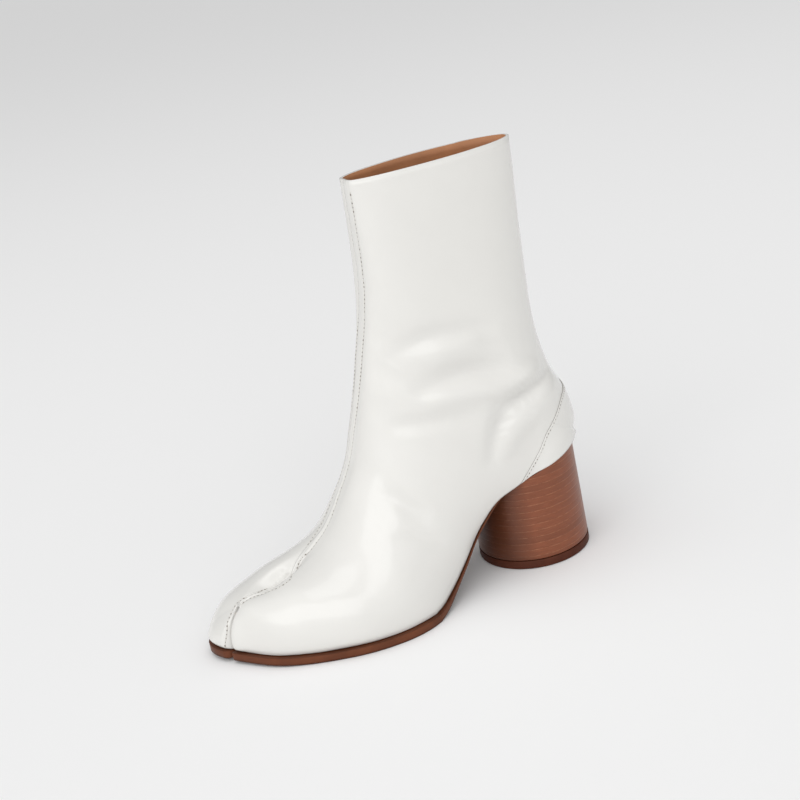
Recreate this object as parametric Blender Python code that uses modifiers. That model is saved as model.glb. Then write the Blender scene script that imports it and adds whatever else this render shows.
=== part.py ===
"""Split-toe ankle boot on a round stacked heel, left foot, standing empty on its sole.

Metres, +Z up, toe towards -Y, outer side of the foot towards +X. The origin is the centre of the
heel's round foot, on the floor. Every form is worked out from the sizes below and from short tables
of shares of those sizes.
"""
import math

import bmesh
import bpy
import numpy as np

# Sizes of the last
FOOT_LENGTH = 0.236
BALL_WIDTH = 0.088
SEAT_WIDTH = 0.0605
TOE_BULGE = 0.0027
TOE_SPRING = 0.0025

# Sizes of the heel
HEEL_HEIGHT = 0.0605
HEEL_RADIUS = 0.0335
HEEL_TAPER = 0.0012
TOP_LIFT_HEIGHT = 0.005
TOP_LIFT_CHAMFER = 0.0006

# Sizes of the outsole and the insole
TREAD_THICKNESS = 0.0046
WAIST_THICKNESS = 0.0014
TREAD_WELT = 0.0027
WAIST_WELT = 0.0006
INSOLE_THICKNESS = 0.002

# Sizes of the upper
WALL = 0.0017
SHAFT_HEIGHT = 0.186
SPLIT_DEPTH = 0.034
SPLIT_GAP = 0.0018
SPLIT_CORNER = 0.0032
SPLIT_TOP = 0.004
SPLIT_X = -0.0050
COLLAR_SEAM_X = 0.0015
SEAM_BAND = 0.0044
SEAM_BAND_TOE = 0.0100
SEAM_BAND_TIP = 0.0015
SEAM_RAISE = 0.0008
TOE_VALLEY = 0.0075
COUNTER_STEP = 0.0006
COUNTER_HEIGHT = 0.0455
COUNTER_FRONT = 0.0525
FLAP_STEP = 0.0009
FLAP_DROP = 0.118
FLAP_SET_BACK = 0.024

CLEARANCE = 0.0003
FEATHER_GAP = 0.0005
INSOLE_GAP = 0.0010
SEAT_BACK_Y = HEEL_RADIUS

# Facets of the faceted solids
TOE_RIBS = 6
RIBS = 66
RIB_POINTS = 10
HEEL_SIDES = 56
OUTLINE_POINTS = 120
SHEET_STEPS = 72

# Plan outline of the last from the middle of the heel's back, up the outer side to the toe and back
# down the inner side: side as a share of the half width there, along as a share of FOOT_LENGTH.
OUTLINE = (
    # side, along
    (0.00, 0.000),
    (0.43, 0.011),
    (0.76, 0.042),
    (0.94, 0.090),
    (1.00, 0.150),
    (0.98, 0.205),
    (0.875, 0.290),
    (0.785, 0.355),
    (0.78, 0.420),
    (0.86, 0.472),
    (0.985, 0.532),
    (1.045, 0.600),
    (1.03, 0.655),
    (0.97, 0.710),
    (0.85, 0.767),
    (0.74, 0.810),
    (0.60, 0.855),
    (0.44, 0.895),
    (0.24, 0.928),
    (0.04, 0.955),
    (-0.16, 0.979),
    (-0.34, 0.994),
    (-0.52, 0.996),
    (-0.70, 0.975),
    (-0.84, 0.930),
    (-0.93, 0.870),
    (-0.985, 0.800),
    (-1.00, 0.730),
    (-0.97, 0.655),
    (-0.87, 0.575),
    (-0.72, 0.490),
    (-0.66, 0.410),
    (-0.73, 0.330),
    (-0.87, 0.250),
    (-0.97, 0.170),
    (-0.93, 0.090),
    (-0.76, 0.042),
    (-0.43, 0.011),
)

# Height of the outsole's underside over the floor, from the seat's back to the ball.
SHANK = (
    # along, share of HEEL_HEIGHT
    (0.000, 1.125),
    (0.035, 1.108),
    (0.075, 1.080),
    (0.115, 1.044),
    (0.160, 0.992),
    (0.205, 0.932),
    (0.250, 0.860),
    (0.295, 0.755),
    (0.330, 0.630),
    (0.360, 0.500),
    (0.395, 0.325),
    (0.425, 0.205),
    (0.455, 0.110),
    (0.485, 0.042),
    (0.515, 0.008),
    (0.545, 0.000),
)

# Crest of the upper from the split toe up the instep to the collar.
CREST = (
    # along, share of HEEL_HEIGHT, share of SHAFT_HEIGHT
    (0.947, 0.00, 0.150),
    (0.930, 0.00, 0.172),
    (0.900, 0.00, 0.188),
    (0.865, 0.00, 0.199),
    (0.828, 0.00, 0.215),
    (0.778, 0.00, 0.234),
    (0.727, 0.01, 0.258),
    (0.693, 0.02, 0.284),
    (0.655, 0.08, 0.321),
    (0.621, 0.18, 0.355),
    (0.591, 0.31, 0.383),
    (0.568, 0.49, 0.411),
    (0.544, 0.69, 0.442),
    (0.525, 0.85, 0.476),
    (0.506, 0.96, 0.532),
    (0.489, 1.00, 0.605),
    (0.477, 1.00, 0.696),
    (0.470, 1.00, 0.820),
    (0.466, 1.00, 1.000),
)

# Back line of the upper from the seat to the collar.
BACK = (
    # out beyond the seat as a share of FOOT_LENGTH, share of the height from the seat to the collar
    (0.0000, 0.000),
    (0.0080, 0.020),
    (0.0117, 0.045),
    (0.0108, 0.070),
    (0.0064, 0.103),
    (-0.0042, 0.160),
    (-0.0254, 0.221),
    (-0.0403, 0.294),
    (-0.0487, 0.367),
    (-0.0508, 0.434),
    (-0.0487, 0.518),
    (-0.0435, 0.641),
    (-0.0403, 0.737),
    (-0.0339, 0.860),
    (-0.0275, 1.000),
)

# Ribs of one half of the upper from the toe to the collar's back. low runs 0 to 1 along the outline
# from toe to heel and 1 to 2 up the back line, high runs 0 to 1 up the crest, and turn says how far a
# rib faces along the foot. outer and inner are half widths as shares of half BALL_WIDTH.
RIB_TABLE = (
    # low, high, turn, outer, inner, belly, fullness
    (0.000, 0.000, 1.00, 0.90, 0.90, 0.30, 2.05),
    (0.060, 0.012, 1.00, 0.92, 0.92, 0.30, 2.05),
    (0.130, 0.048, 0.96, 0.98, 0.96, 0.30, 2.05),
    (0.170, 0.078, 0.90, 1.01, 0.98, 0.30, 2.05),
    (0.210, 0.108, 0.78, 1.04, 1.00, 0.30, 2.05),
    (0.250, 0.142, 0.61, 1.055, 1.015, 0.285, 2.03),
    (0.290, 0.177, 0.42, 1.07, 1.03, 0.27, 2.00),
    (0.370, 0.255, 0.15, 1.08, 1.04, 0.26, 1.80),
    (0.450, 0.338, 0.00, 1.03, 1.00, 0.27, 1.66),
    (0.540, 0.410, 0.00, 0.88, 0.87, 0.31, 1.66),
    (0.590, 0.447, 0.00, 0.82, 0.80, 0.325, 1.70),
    (0.640, 0.480, 0.00, 0.77, 0.75, 0.34, 1.75),
    (0.740, 0.535, 0.00, 0.735, 0.72, 0.34, 1.85),
    (0.840, 0.580, 0.00, 0.745, 0.73, 0.32, 1.95),
    (0.930, 0.615, 0.00, 0.745, 0.73, 0.30, 1.95),
    (1.000, 0.640, 0.00, 0.740, 0.73, 0.29, 1.95),
    (1.080, 0.665, 0.00, 0.725, 0.715, 0.29, 1.95),
    (1.180, 0.695, 0.00, 0.690, 0.685, 0.31, 1.95),
    (1.320, 0.740, 0.00, 0.620, 0.625, 0.36, 2.15),
    (1.500, 0.805, 0.00, 0.545, 0.560, 0.42, 2.40),
    (1.700, 0.880, 0.00, 0.470, 0.510, 0.47, 2.35),
    (2.000, 1.000, 0.00, 0.386, 0.466, 0.50, 2.00),
)

# Ribs inside the split, from its closed end to the toe, over the same part of the crest.
SPLIT_TABLE = (
    # low, belly, fullness
    (0.00, 0.10, 1.15),
    (0.50, 0.20, 1.30),
    (0.80, 0.27, 1.90),
    (1.00, 0.30, 2.05),
)

# Section of the seam band between the two halves.
BAND = (
    # across, share of the seam's height
    (0.00, 0.00),
    (0.20, 0.00),
    (0.40, 0.12),
    (0.50, 1.00),
    (0.60, 0.12),
    (0.80, 0.00),
    (1.00, 0.00),
)


def spline(knots, values, at):
    """Natural cubic through the knots, read at the given places."""
    x = np.asarray(knots, float)
    y = np.asarray(values, float)
    step = np.diff(x)
    slope = np.diff(y) / step
    size = len(x)
    matrix = np.eye(size)
    right = np.zeros(size)
    for k in range(1, size - 1):
        matrix[k, k - 1] = step[k - 1]
        matrix[k, k] = 2 * (step[k - 1] + step[k])
        matrix[k, k + 1] = step[k]
        right[k] = 6 * (slope[k] - slope[k - 1])
    bend = np.linalg.solve(matrix, right)
    at = np.asarray(at, float)
    k = np.clip(np.searchsorted(x, at, side="right") - 1, 0, size - 2)
    a = (x[k + 1] - at) / step[k]
    b = (at - x[k]) / step[k]
    cubic = (a**3 - a) * bend[k] + (b**3 - b) * bend[k + 1]
    return a * y[k] + b * y[k + 1] + cubic * step[k] ** 2 / 6


def ease(low, high, at):
    """Smooth step from 0 at low to 1 at high."""
    t = np.clip((np.asarray(at, float) - low) / (high - low), 0, 1)
    return t * t * (3 - 2 * t)


def mix(a, b, share):
    return a + (b - a) * share


def run_of(points):
    """Length along a path at each of its points."""
    steps = np.linalg.norm(np.diff(points, axis=0), axis=1)
    return np.concatenate([[0], np.cumsum(steps)])


def along_path(points, share):
    """Point at a share of a path's length."""
    run = run_of(points)
    return np.array([np.interp(share * run[-1], run, points[:, k]) for k in range(points.shape[1])])


def unit(vectors):
    return vectors / np.linalg.norm(vectors, axis=-1)[..., None]


def y_of(along):
    return SEAT_BACK_Y - np.asarray(along, float) * FOOT_LENGTH


def along_of(y):
    return (SEAT_BACK_Y - np.asarray(y, float)) / FOOT_LENGTH


def half_width(along):
    return mix(SEAT_WIDTH, BALL_WIDTH, ease(0.2, 0.6, along)) / 2


def underside(y):
    """Height of the outsole's underside over the floor."""
    along = along_of(y)
    knots, shares = np.array(SHANK).T
    shank = spline(knots, shares, np.clip(along, 0, knots[-1])) * HEEL_HEIGHT
    shank = np.where(along < knots[-2], np.maximum(shank, 0), 0)
    return shank + TOE_SPRING * np.clip((along - 0.76) / 0.24, 0, None) ** 2


def sole_top(y):
    return underside(y) + mix(WAIST_THICKNESS, TREAD_THICKNESS, ease(0.34, 0.58, along_of(y)))


def lifted(surface, gap):
    """The height over a surface at a gap measured square to its slope."""
    def height(y):
        slope = (surface(np.asarray(y) + 0.0005) - surface(np.asarray(y) - 0.0005)) / 0.001
        return surface(y) + gap * np.hypot(1, slope)
    return height


# Undersides of the pieces that lie on the outsole, and the top of the heel under it.
on_sole = lifted(sole_top, CLEARANCE)
upper_foot = lifted(sole_top, FEATHER_GAP)
insole_top = lifted(sole_top, CLEARANCE + INSOLE_THICKNESS)
heel_top = lifted(underside, -CLEARANCE)


def outline(reach=None, count=720):
    """Closed plan outline of the last, from the heel's back by the outer side, grown by reach(y)."""
    rows = np.array(OUTLINE)
    rows = np.stack([rows[:, 0] * half_width(rows[:, 1]), y_of(rows[:, 1])], 1)
    lap = 4
    around = np.vstack([rows[-lap:], rows, rows[: lap + 1]])
    run = run_of(around)
    at = np.linspace(run[lap], run[lap + len(rows)], count + 1)[:-1]
    points = np.stack([spline(run, around[:, 0], at), spline(run, around[:, 1], at)], 1)
    if reach is None:
        return points
    tangent = unit(np.roll(points, -1, 0) - np.roll(points, 1, 0))
    normal = np.stack([tangent[:, 1], -tangent[:, 0]], 1)
    outward = np.sign(normal[count // 4, 0])
    return points + outward * normal * reach(points[:, 1])[:, None]


def half_outline(side, reach=None, widen=0.0):
    """One half of the outline, split and all: the path from the split's end round the toe lobe to its
    corner, and the path on from the corner to the heel's back. side is +1 for the outer half.
    """
    points = outline(reach)
    if side < 0:
        points = np.vstack([points[:1], points[:0:-1]])
    wall = SPLIT_X + side * (SPLIT_GAP / 2 + widen)
    start = wall + side * SPLIT_CORNER
    near_toe = (points[:, 1] < y_of(0.9)) & (side * points[:, 0] < side * start)
    last = int(np.argmax(near_toe))
    before, after = points[last - 1], points[last]
    share = (start - before[0]) / (after[0] - before[0])
    first = mix(before, after, share)
    slope = (after[1] - before[1]) / (after[0] - before[0])
    knee = np.array([wall, first[1] + slope * (wall - start)])
    close = knee + np.array([0, SPLIT_CORNER])
    t = np.linspace(0, 1, 9)[:, None]
    corner = close * (1 - t) ** 2 + 2 * knee * t * (1 - t) + first * t * t
    end = np.array([[wall, y_of(1) + SPLIT_DEPTH + widen]])
    return np.vstack([end, corner]), np.vstack([first[None], points[:last][::-1]])


def welt(y):
    """How far the outsole stands out beyond the upper's edge."""
    return mix(WAIST_WELT, TREAD_WELT, ease(0.34, 0.56, along_of(y)))


def crest(high):
    """Points of the crest over the seam's middle."""
    rows = np.array(CREST)
    y = y_of(rows[:, 0])
    z = rows[:, 1] * HEEL_HEIGHT + rows[:, 2] * SHAFT_HEIGHT
    run = run_of(np.stack([y, z], 1))
    at = np.asarray(high, float) * run[-1]
    x_at = mix(SPLIT_X, COLLAR_SEAM_X, ease(0.05, 0.75, high))
    return np.stack([x_at, spline(run, y, at), spline(run, z, at)], -1)


def crest_frame(high):
    """Slope of the crest and its outward normal in the plane of the seam."""
    ahead = crest(np.clip(high + 0.01, 0, 1)) - crest(np.clip(high - 0.01, 0, 1))
    along = ahead[:, 2] / np.where(np.abs(ahead[:, 1]) < 1e-6, 1e-6, ahead[:, 1])
    normal = np.stack([0 * along, -ahead[:, 2], ahead[:, 1]], 1)
    return np.clip(along, -0.9, 0.9), unit(normal)


def back_line(rise):
    """Point of the back line at a share of its height."""
    rows = np.array(BACK)
    y = SEAT_BACK_Y + spline(rows[:, 1], rows[:, 0], rise) * FOOT_LENGTH
    seat = upper_foot(SEAT_BACK_Y)
    return np.array([0.0, float(y), float(mix(seat, HEEL_HEIGHT + SHAFT_HEIGHT, rise))])


def low_end(side, low):
    """Lower end of a rib: on the outline as far as 1, then on the back line."""
    if low > 1:
        return back_line(low - 1)
    x, y = along_path(half_outline(side)[1], low)
    return np.array([x, y, float(upper_foot(y))])


def split_end(side, low):
    """Lower end of a rib inside the split."""
    x, y = along_path(half_outline(side)[0], low)
    return np.array([x, y, float(upper_foot(y))])


def band_half(high):
    toe = mix(SEAM_BAND_TIP, SEAM_BAND_TOE, ease(0.012, 0.085, high))
    return mix(toe, SEAM_BAND, ease(0.13, 0.26, high))


def rib_places(ribs, toe_ribs):
    """Rib columns from the toe to the collar, the first toe_ribs of them over the split."""
    table = np.array(RIB_TABLE)
    knots = np.arange(len(table), dtype=float)
    fine = np.linspace(0, knots[-1], 2000)
    high = np.maximum.accumulate(spline(knots, table[:, 1], fine))
    run = run_of(crest(np.linspace(0, 1, 400)))[-1]
    closed = np.interp(SPLIT_TOP / run, high, fine)
    at = np.concatenate([
        np.linspace(0, closed, toe_ribs + 1),
        np.linspace(closed, knots[-1], ribs - toe_ribs)[1:],
    ])
    columns = [spline(knots, table[:, k], at) for k in range(table.shape[1])]
    columns[0] = np.clip(columns[0], 0, 2)
    columns[1] = np.clip(columns[1], 0, 1)
    columns[2] = np.clip(columns[2], 0, 1)
    return columns


def sweep(side, foot, high, turn, half, bulge_toe, belly, full, points):
    """Grid of ribs, each leaving its foot upright, swelling to its widest and closing on the crest."""
    head = crest(high)
    slope = crest_frame(high)[0]
    head[:, 0] += side * band_half(high)
    away = foot - head
    away[:, 2] = 0
    reach = unit(mix(np.array([side, 0.0, 0.0]), unit(away), turn[:, None]))
    bulge = mix(half - np.abs(foot[:, 0]), bulge_toe, turn)[:, None] * reach
    base = np.stack([head[:, 0], mix(foot[:, 1], head[:, 1], turn), foot[:, 2]], 1)
    arm = foot - base + bulge
    skew = slope * arm[:, 1]
    rise = head - base
    rise[:, 2] += skew
    arm[:, 2] = skew
    widest = foot + bulge + belly[:, None] * rise
    centre = widest - arm
    mast = head - centre
    round_share = ease(0.15, 0.7, np.linalg.norm(bulge, axis=1) / half)[:, None]
    first = foot + bulge * mix(0.45, 0.5523, round_share)
    first += belly[:, None] * rise * mix(0.15, 0.0, round_share)
    second = widest - 0.5523 * belly[:, None] * rise
    lower = round(points * 0.4)
    upper = points - lower
    grid = np.zeros((len(high), points, 3))
    for k in range(lower):
        t = k / lower
        grid[:, k] = foot * (1 - t) ** 3 + 3 * first * t * (1 - t) ** 2
        grid[:, k] += 3 * second * t * t * (1 - t) + widest * t**3
    power = (2 / full)[:, None]
    for k in range(upper):
        angle = math.pi / 2 * k / (upper - 1)
        out, up = max(math.cos(angle), 0.0), max(math.sin(angle), 0.0)
        grid[:, lower + k] = centre + arm * out**power + mast * up**power
    return grid


def half_upper(side, ribs=RIBS, toe_ribs=TOE_RIBS, points=RIB_POINTS):
    """Two grids of one half of the upper: inside the split, and from the toe to the collar."""
    low, high, turn, outer, inner, belly, full = rib_places(ribs, toe_ribs)
    foot = np.array([low_end(side, place) for place in low])
    half = (outer if side > 0 else inner) * BALL_WIDTH / 2
    body = sweep(side, foot, high, turn, half, TOE_BULGE, belly, full, points)
    table = np.array(SPLIT_TABLE)
    share = 1 - high[: toe_ribs + 1] / high[toe_ribs]
    place, belly, full = (np.interp(share, table[:, 0], column) for column in
                          (table[:, 0], table[:, 1], table[:, 2]))
    foot = np.array([split_end(side, one) for one in place])
    ones = np.ones(toe_ribs + 1)
    swell = TOE_BULGE * ease(0.75, 1.0, place)
    split = sweep(side, foot, high[: toe_ribs + 1], ones, half[: toe_ribs + 1], swell, belly, full, points)
    split[0] = body[0]
    return split, body, high


def seam_band(outer, inner, high, band=BAND):
    """Grid over the front seam, from one half's crest edge to the other's: a raised seam, which lies
    in a valley between the two toe lobes.
    """
    share, lift = np.array(band).T
    valley = TOE_VALLEY * np.exp(-(((high - 0.118) / 0.045) ** 2))
    seam = SEAM_RAISE * ease(0.0, 0.06, high)
    height = seam[:, None] * lift - valley[:, None] * np.sin(math.pi * share) ** 2
    grid = outer[:, None] * (1 - share)[None, :, None] + inner[:, None] * share[None, :, None]
    return grid + height[:, :, None] * crest_frame(high)[1][:, None]


def split_close(outer, inner, first_row):
    """Grid over the split's closed end, up to the first row of the seam band."""
    columns = len(first_row)
    share = np.linspace(0, 1, columns)
    grid = outer[:, None] * (1 - share)[None, :, None] + inner[:, None] * share[None, :, None]
    dip = first_row - grid[-1]
    fade = np.linspace(0, 1, len(outer)) ** 6
    return grid + fade[:, None, None] * dip[None]


def add_grid(bm, grid, flip):
    """Quads over a grid of points."""
    rows, columns = grid.shape[:2]
    verts = [[bm.verts.new(grid[i, j]) for j in range(columns)] for i in range(rows)]
    for i in range(rows - 1):
        for j in range(columns - 1):
            corners = [verts[i][j], verts[i][j + 1], verts[i + 1][j + 1], verts[i + 1][j]]
            bm.faces.new(corners[::-1] if flip else corners)


def outer_face(ribs=RIBS, toe_ribs=TOE_RIBS, points=RIB_POINTS, band=BAND):
    """Outer face of the upper as one open surface."""
    bm = bmesh.new()
    halves = {side: half_upper(side, ribs, toe_ribs, points) for side in (1, -1)}
    for side, (split, body, high) in halves.items():
        add_grid(bm, split, side > 0)
        add_grid(bm, body, side < 0)
    split_outer, body_outer, high = halves[1]
    split_inner, body_inner, high = halves[-1]
    over = seam_band(body_outer[toe_ribs:, -1], body_inner[toe_ribs:, -1], high[toe_ribs:], band)
    add_grid(bm, over, True)
    add_grid(bm, split_close(split_outer[-1], split_inner[-1], over[0]), False)
    bmesh.ops.remove_doubles(bm, verts=bm.verts, dist=0.00002)
    bmesh.ops.dissolve_degenerate(bm, edges=bm.edges, dist=0.00001)
    bmesh.ops.recalc_face_normals(bm, faces=bm.faces)
    return bm


def cut_along(bm, origin, normal, keep):
    """Edges where a plane crosses the faces whose middle passes keep."""
    faces = [face for face in bm.faces if keep(face.calc_center_median())]
    geometry = set(faces)
    for face in faces:
        geometry.update(face.edges)
        geometry.update(face.verts)
    bmesh.ops.bisect_plane(bm, geom=list(geometry), dist=0.00005, plane_co=origin, plane_no=normal)


def counter_line():
    """Two points of the counter's upper edge in side view: on the seat and on the heel's back."""
    front = np.array([y_of(COUNTER_FRONT / FOOT_LENGTH), 0.0])
    front[1] = sole_top(front[0])
    back = np.array([back_line(0.2)[1], HEEL_HEIGHT + COUNTER_HEIGHT])
    return front, back


def overlay_planes():
    """Places and normals of the counter's edge and of the closing flap's two edges."""
    front, back = counter_line()
    run = unit((back - front)[None])[0]
    counter = (0, front[0], front[1]), (0, run[1], -run[0])
    top = HEEL_HEIGHT + SHAFT_HEIGHT
    flap_y = back_line(1.0)[1] - FLAP_SET_BACK
    side = (0, flap_y, top), (0, -1, 0.10)
    foot = (0, flap_y, top - FLAP_DROP), (0, 0.5, -1)
    return counter, side, foot


def beyond(point, plane):
    origin, normal = plane
    size = math.sqrt(sum(n * n for n in normal))
    return sum((p - o) * n for p, o, n in zip(point, origin, normal)) / size


def cut_overlays(bm):
    counter, side, foot = overlay_planes()
    bevel = 0.0008
    top = HEEL_HEIGHT + SHAFT_HEIGHT * 0.35
    front_y = counter_line()[0][0]

    def at_heel(middle):
        return middle.z < top and middle.y > front_y - 0.006

    def inner_back(middle):
        return middle.x < 0.0 and middle.z > HEEL_HEIGHT + SHAFT_HEIGHT * 0.25 and middle.y > y_of(0.35)

    for plane, keep in ((counter, at_heel), (side, inner_back), (foot, inner_back)):
        for shift in (0.0, bevel):
            origin = [o + n * shift for o, n in zip(*plane)]
            cut_along(bm, origin, plane[1], keep)


def overlay_height(point):
    """Extra thickness of the counter and of the flap at a point of the outer face."""
    counter, side, foot = overlay_planes()
    limit = 0.0006
    at_heel = point.z < HEEL_HEIGHT + SHAFT_HEIGHT * 0.35 and point.y > counter_line()[0][0]
    if at_heel and beyond(point, counter) > limit:
        return COUNTER_STEP
    if point.x < -0.0005 and beyond(point, side) < limit and beyond(point, foot) < limit:
        if point.y > y_of(0.35):
            return FLAP_STEP
    return 0.0


def build_upper(bm):
    """Close the outer face into one hollow wall and lay the counter and the flap on it."""
    cut_overlays(bm)
    bm.normal_update()
    outer = set(bm.verts)
    lift = {vert: (overlay_height(vert.co), vert.normal.copy()) for vert in outer}
    bottom = [vert for vert in outer if vert.is_boundary and vert.co.z < sole_top(vert.co.y) + 0.001]
    bmesh.ops.solidify(bm, geom=bm.faces[:] + bm.edges[:] + bm.verts[:], thickness=WALL)
    for vert in bottom:
        for edge in vert.link_edges:
            inner = edge.other_vert(vert)
            if inner not in outer:
                inner.co.z = float(upper_foot(inner.co.y))
    for vert, (height, normal) in lift.items():
        vert.co += normal * height
    bmesh.ops.recalc_face_normals(bm, faces=bm.faces)


def plan_polygon(reach, widen):
    """Closed plan of both halves with the split left open between them."""
    loops = []
    for side in (1, -1):
        split, edge = half_outline(side, reach, widen)
        path = np.vstack([split, edge[1:]])
        run = run_of(path)
        keep = np.linspace(0, run[-1], OUTLINE_POINTS // 2 + 1)
        keep = np.unique(np.concatenate([run[: len(split)], keep[keep > run[len(split) - 1] + 0.001]]))
        loops.append(np.stack([np.interp(keep, run, path[:, k]) for k in (0, 1)], 1))
    outer, inner = loops
    return np.vstack([outer, inner[:-1][::-1]])


def prism(name, polygon, low, high, group):
    """Upright block over a plan polygon."""
    bm = bmesh.new()
    face = bm.faces.new([bm.verts.new((x, y, low)) for x, y in polygon])
    made = bmesh.ops.extrude_face_region(bm, geom=[face])
    for item in made["geom"]:
        if isinstance(item, bmesh.types.BMVert):
            item.co.z = high
    bmesh.ops.recalc_face_normals(bm, faces=bm.faces)
    return bmesh_object(name, bm, group)


def sheet(name, low, high, group):
    """Wide block whose underside and top follow two heights along the foot."""
    y = np.linspace(SEAT_BACK_Y + 0.01, y_of(1) - 0.012, SHEET_STEPS)
    wide = BALL_WIDTH
    bm = bmesh.new()
    profile = [(v, float(low(v))) for v in y] + [(v, float(high(v))) for v in y[::-1]]
    rings = [[bm.verts.new((x, v, z)) for v, z in profile] for x in (-wide, wide)]
    count = len(profile)
    for k in range(count):
        after = (k + 1) % count
        bm.faces.new([rings[0][k], rings[0][after], rings[1][after], rings[1][k]])
    for k in range(len(y) - 1):
        far = count - 1 - k
        for ring in rings:
            bm.faces.new([ring[k], ring[k + 1], ring[far - 1], ring[far]])
    bmesh.ops.recalc_face_normals(bm, faces=bm.faces)
    return bmesh_object(name, bm, group)


def disc(name, low, high, radius_low, radius_high, group):
    bm = bmesh.new()
    bmesh.ops.create_cone(
        bm, cap_ends=True, segments=HEEL_SIDES, radius1=radius_low, radius2=radius_high, depth=high - low
    )
    bmesh.ops.translate(bm, verts=bm.verts, vec=(0, 0, (low + high) / 2))
    return bmesh_object(name, bm, group)


def bmesh_object(name, bm, group):
    mesh = bpy.data.meshes.new(name)
    bm.to_mesh(mesh)
    bm.free()
    made = bpy.data.objects.new(name, mesh)
    group.objects.link(made)
    return made


def hide_cutter(cutter):
    cutter.hide_render = True
    cutter.display_type = "WIRE"


def keep_inside(made, cutter):
    """Live Boolean that keeps the shared part."""
    hide_cutter(cutter)
    change = made.modifiers.new("inside_" + cutter.name, "BOOLEAN")
    change.operation = "INTERSECT"
    change.solver = "EXACT"
    change.object = cutter


def chamfer(made, width):
    change = made.modifiers.new("edge", "BEVEL")
    change.width = width
    change.segments = 1
    change.limit_method = "ANGLE"
    change.angle_limit = math.radians(50)


def material(name, colour, roughness):
    made = bpy.data.materials.new(name)
    made.use_nodes = True
    shader = made.node_tree.nodes["Principled BSDF"]
    shader.inputs["Base Color"].default_value = (*colour, 1)
    shader.inputs["Roughness"].default_value = roughness
    return made


def dress(made, surface):
    made.data.materials.append(surface)
    made.data.shade_smooth()
    made.data.set_sharp_from_angle(angle=math.radians(40))


def clear_scene():
    for thing in list(bpy.data.objects):
        bpy.data.objects.remove(thing, do_unlink=True)


def collection(name):
    made = bpy.data.collections.new(name)
    bpy.context.scene.collection.children.link(made)
    return made


def main():
    clear_scene()
    boot = collection("split_toe_boot")
    cutters = collection("cutters")

    bm = outer_face()
    build_upper(bm)
    upper = bmesh_object("upper", bm, boot)
    dress(upper, material("white_leather", (0.80, 0.79, 0.76), 0.22))

    outsole = sheet("outsole", underside, sole_top, boot)
    edge = plan_polygon(welt, 0.0)
    keep_inside(outsole, prism("outsole_edge", edge, -0.01, HEEL_HEIGHT * 1.5, cutters))
    dress(outsole, material("sole_leather", (0.20, 0.075, 0.035), 0.45))

    insole = sheet("insole", on_sole, insole_top, boot)
    inset = WALL + INSOLE_GAP
    edge = plan_polygon(lambda y: np.full_like(y, -inset), inset)
    keep_inside(insole, prism("insole_edge", edge, -0.01, HEEL_HEIGHT * 1.5, cutters))
    dress(insole, material("lining_leather", (0.42, 0.22, 0.11), 0.6))

    taper = HEEL_TAPER * TOP_LIFT_HEIGHT / HEEL_HEIGHT
    foot = TOP_LIFT_HEIGHT + CLEARANCE
    heel = disc("heel", foot, HEEL_HEIGHT * 1.2, HEEL_RADIUS - taper,
                HEEL_RADIUS - HEEL_TAPER * 1.2, boot)
    under = sheet("heel_top", lambda y: -0.01 + 0 * y, heel_top, cutters)
    keep_inside(heel, under)
    dress(heel, material("heel_stack", (0.22, 0.075, 0.035), 0.4))

    lift = disc("top_lift", 0.0, TOP_LIFT_HEIGHT, HEEL_RADIUS, HEEL_RADIUS, boot)
    chamfer(lift, TOP_LIFT_CHAMFER)
    dress(lift, material("top_lift_rubber", (0.085, 0.026, 0.014), 0.5))


if __name__ == "__main__":
    main()
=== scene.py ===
"""Dressing of the split-toe ankle boot: glossy white leather, tan lining, stitched seams, a thin
stained sole and a round stacked heel, on a plain pale floor.

Metres, +Z up, toes towards -Y, outer side of the left foot towards +X.
"""

import math

import bmesh
import bpy
import numpy as np
from bpy.props import FloatProperty, FloatVectorProperty, IntProperty, PointerProperty
from mathutils import Matrix, Vector
from mathutils.bvhtree import BVHTree


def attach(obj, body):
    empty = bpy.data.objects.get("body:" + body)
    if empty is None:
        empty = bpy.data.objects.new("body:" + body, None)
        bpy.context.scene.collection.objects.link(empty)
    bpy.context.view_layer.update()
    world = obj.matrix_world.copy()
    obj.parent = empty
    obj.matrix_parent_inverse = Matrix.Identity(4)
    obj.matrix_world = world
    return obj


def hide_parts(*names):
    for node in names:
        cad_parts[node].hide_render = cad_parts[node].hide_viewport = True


bl_info = {
    "name": "Split-toe ankle boot",
    "version": (1, 0, 0),
    "blender": (4, 5, 0),
    "location": "View3D > Sidebar > Boot",
    "description": "Dresses the packed boot with leather, seams, lining, sole and heel",
    "category": "Object",
}

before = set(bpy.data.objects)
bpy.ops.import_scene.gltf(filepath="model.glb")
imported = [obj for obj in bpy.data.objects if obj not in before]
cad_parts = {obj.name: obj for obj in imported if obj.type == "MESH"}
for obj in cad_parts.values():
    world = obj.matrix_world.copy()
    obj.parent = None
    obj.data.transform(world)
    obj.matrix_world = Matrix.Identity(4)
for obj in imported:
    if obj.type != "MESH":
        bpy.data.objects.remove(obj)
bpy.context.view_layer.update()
MM = 0.001

# Sizes of the last
FOOT_LENGTH = 0.236
BALL_WIDTH = 0.088
SEAT_WIDTH = 0.0605
TOE_BULGE = 0.0027
TOE_SPRING = 0.0025

# Sizes of the heel
HEEL_HEIGHT = 0.0605
HEEL_RADIUS = 0.0335
HEEL_TAPER = 0.0012
TOP_LIFT_HEIGHT = 0.005

# Sizes of the outsole and the insole
TREAD_THICKNESS = 0.0046
WAIST_THICKNESS = 0.0014
TREAD_WELT = 0.0027
WAIST_WELT = 0.0006
INSOLE_THICKNESS = 0.002

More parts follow.
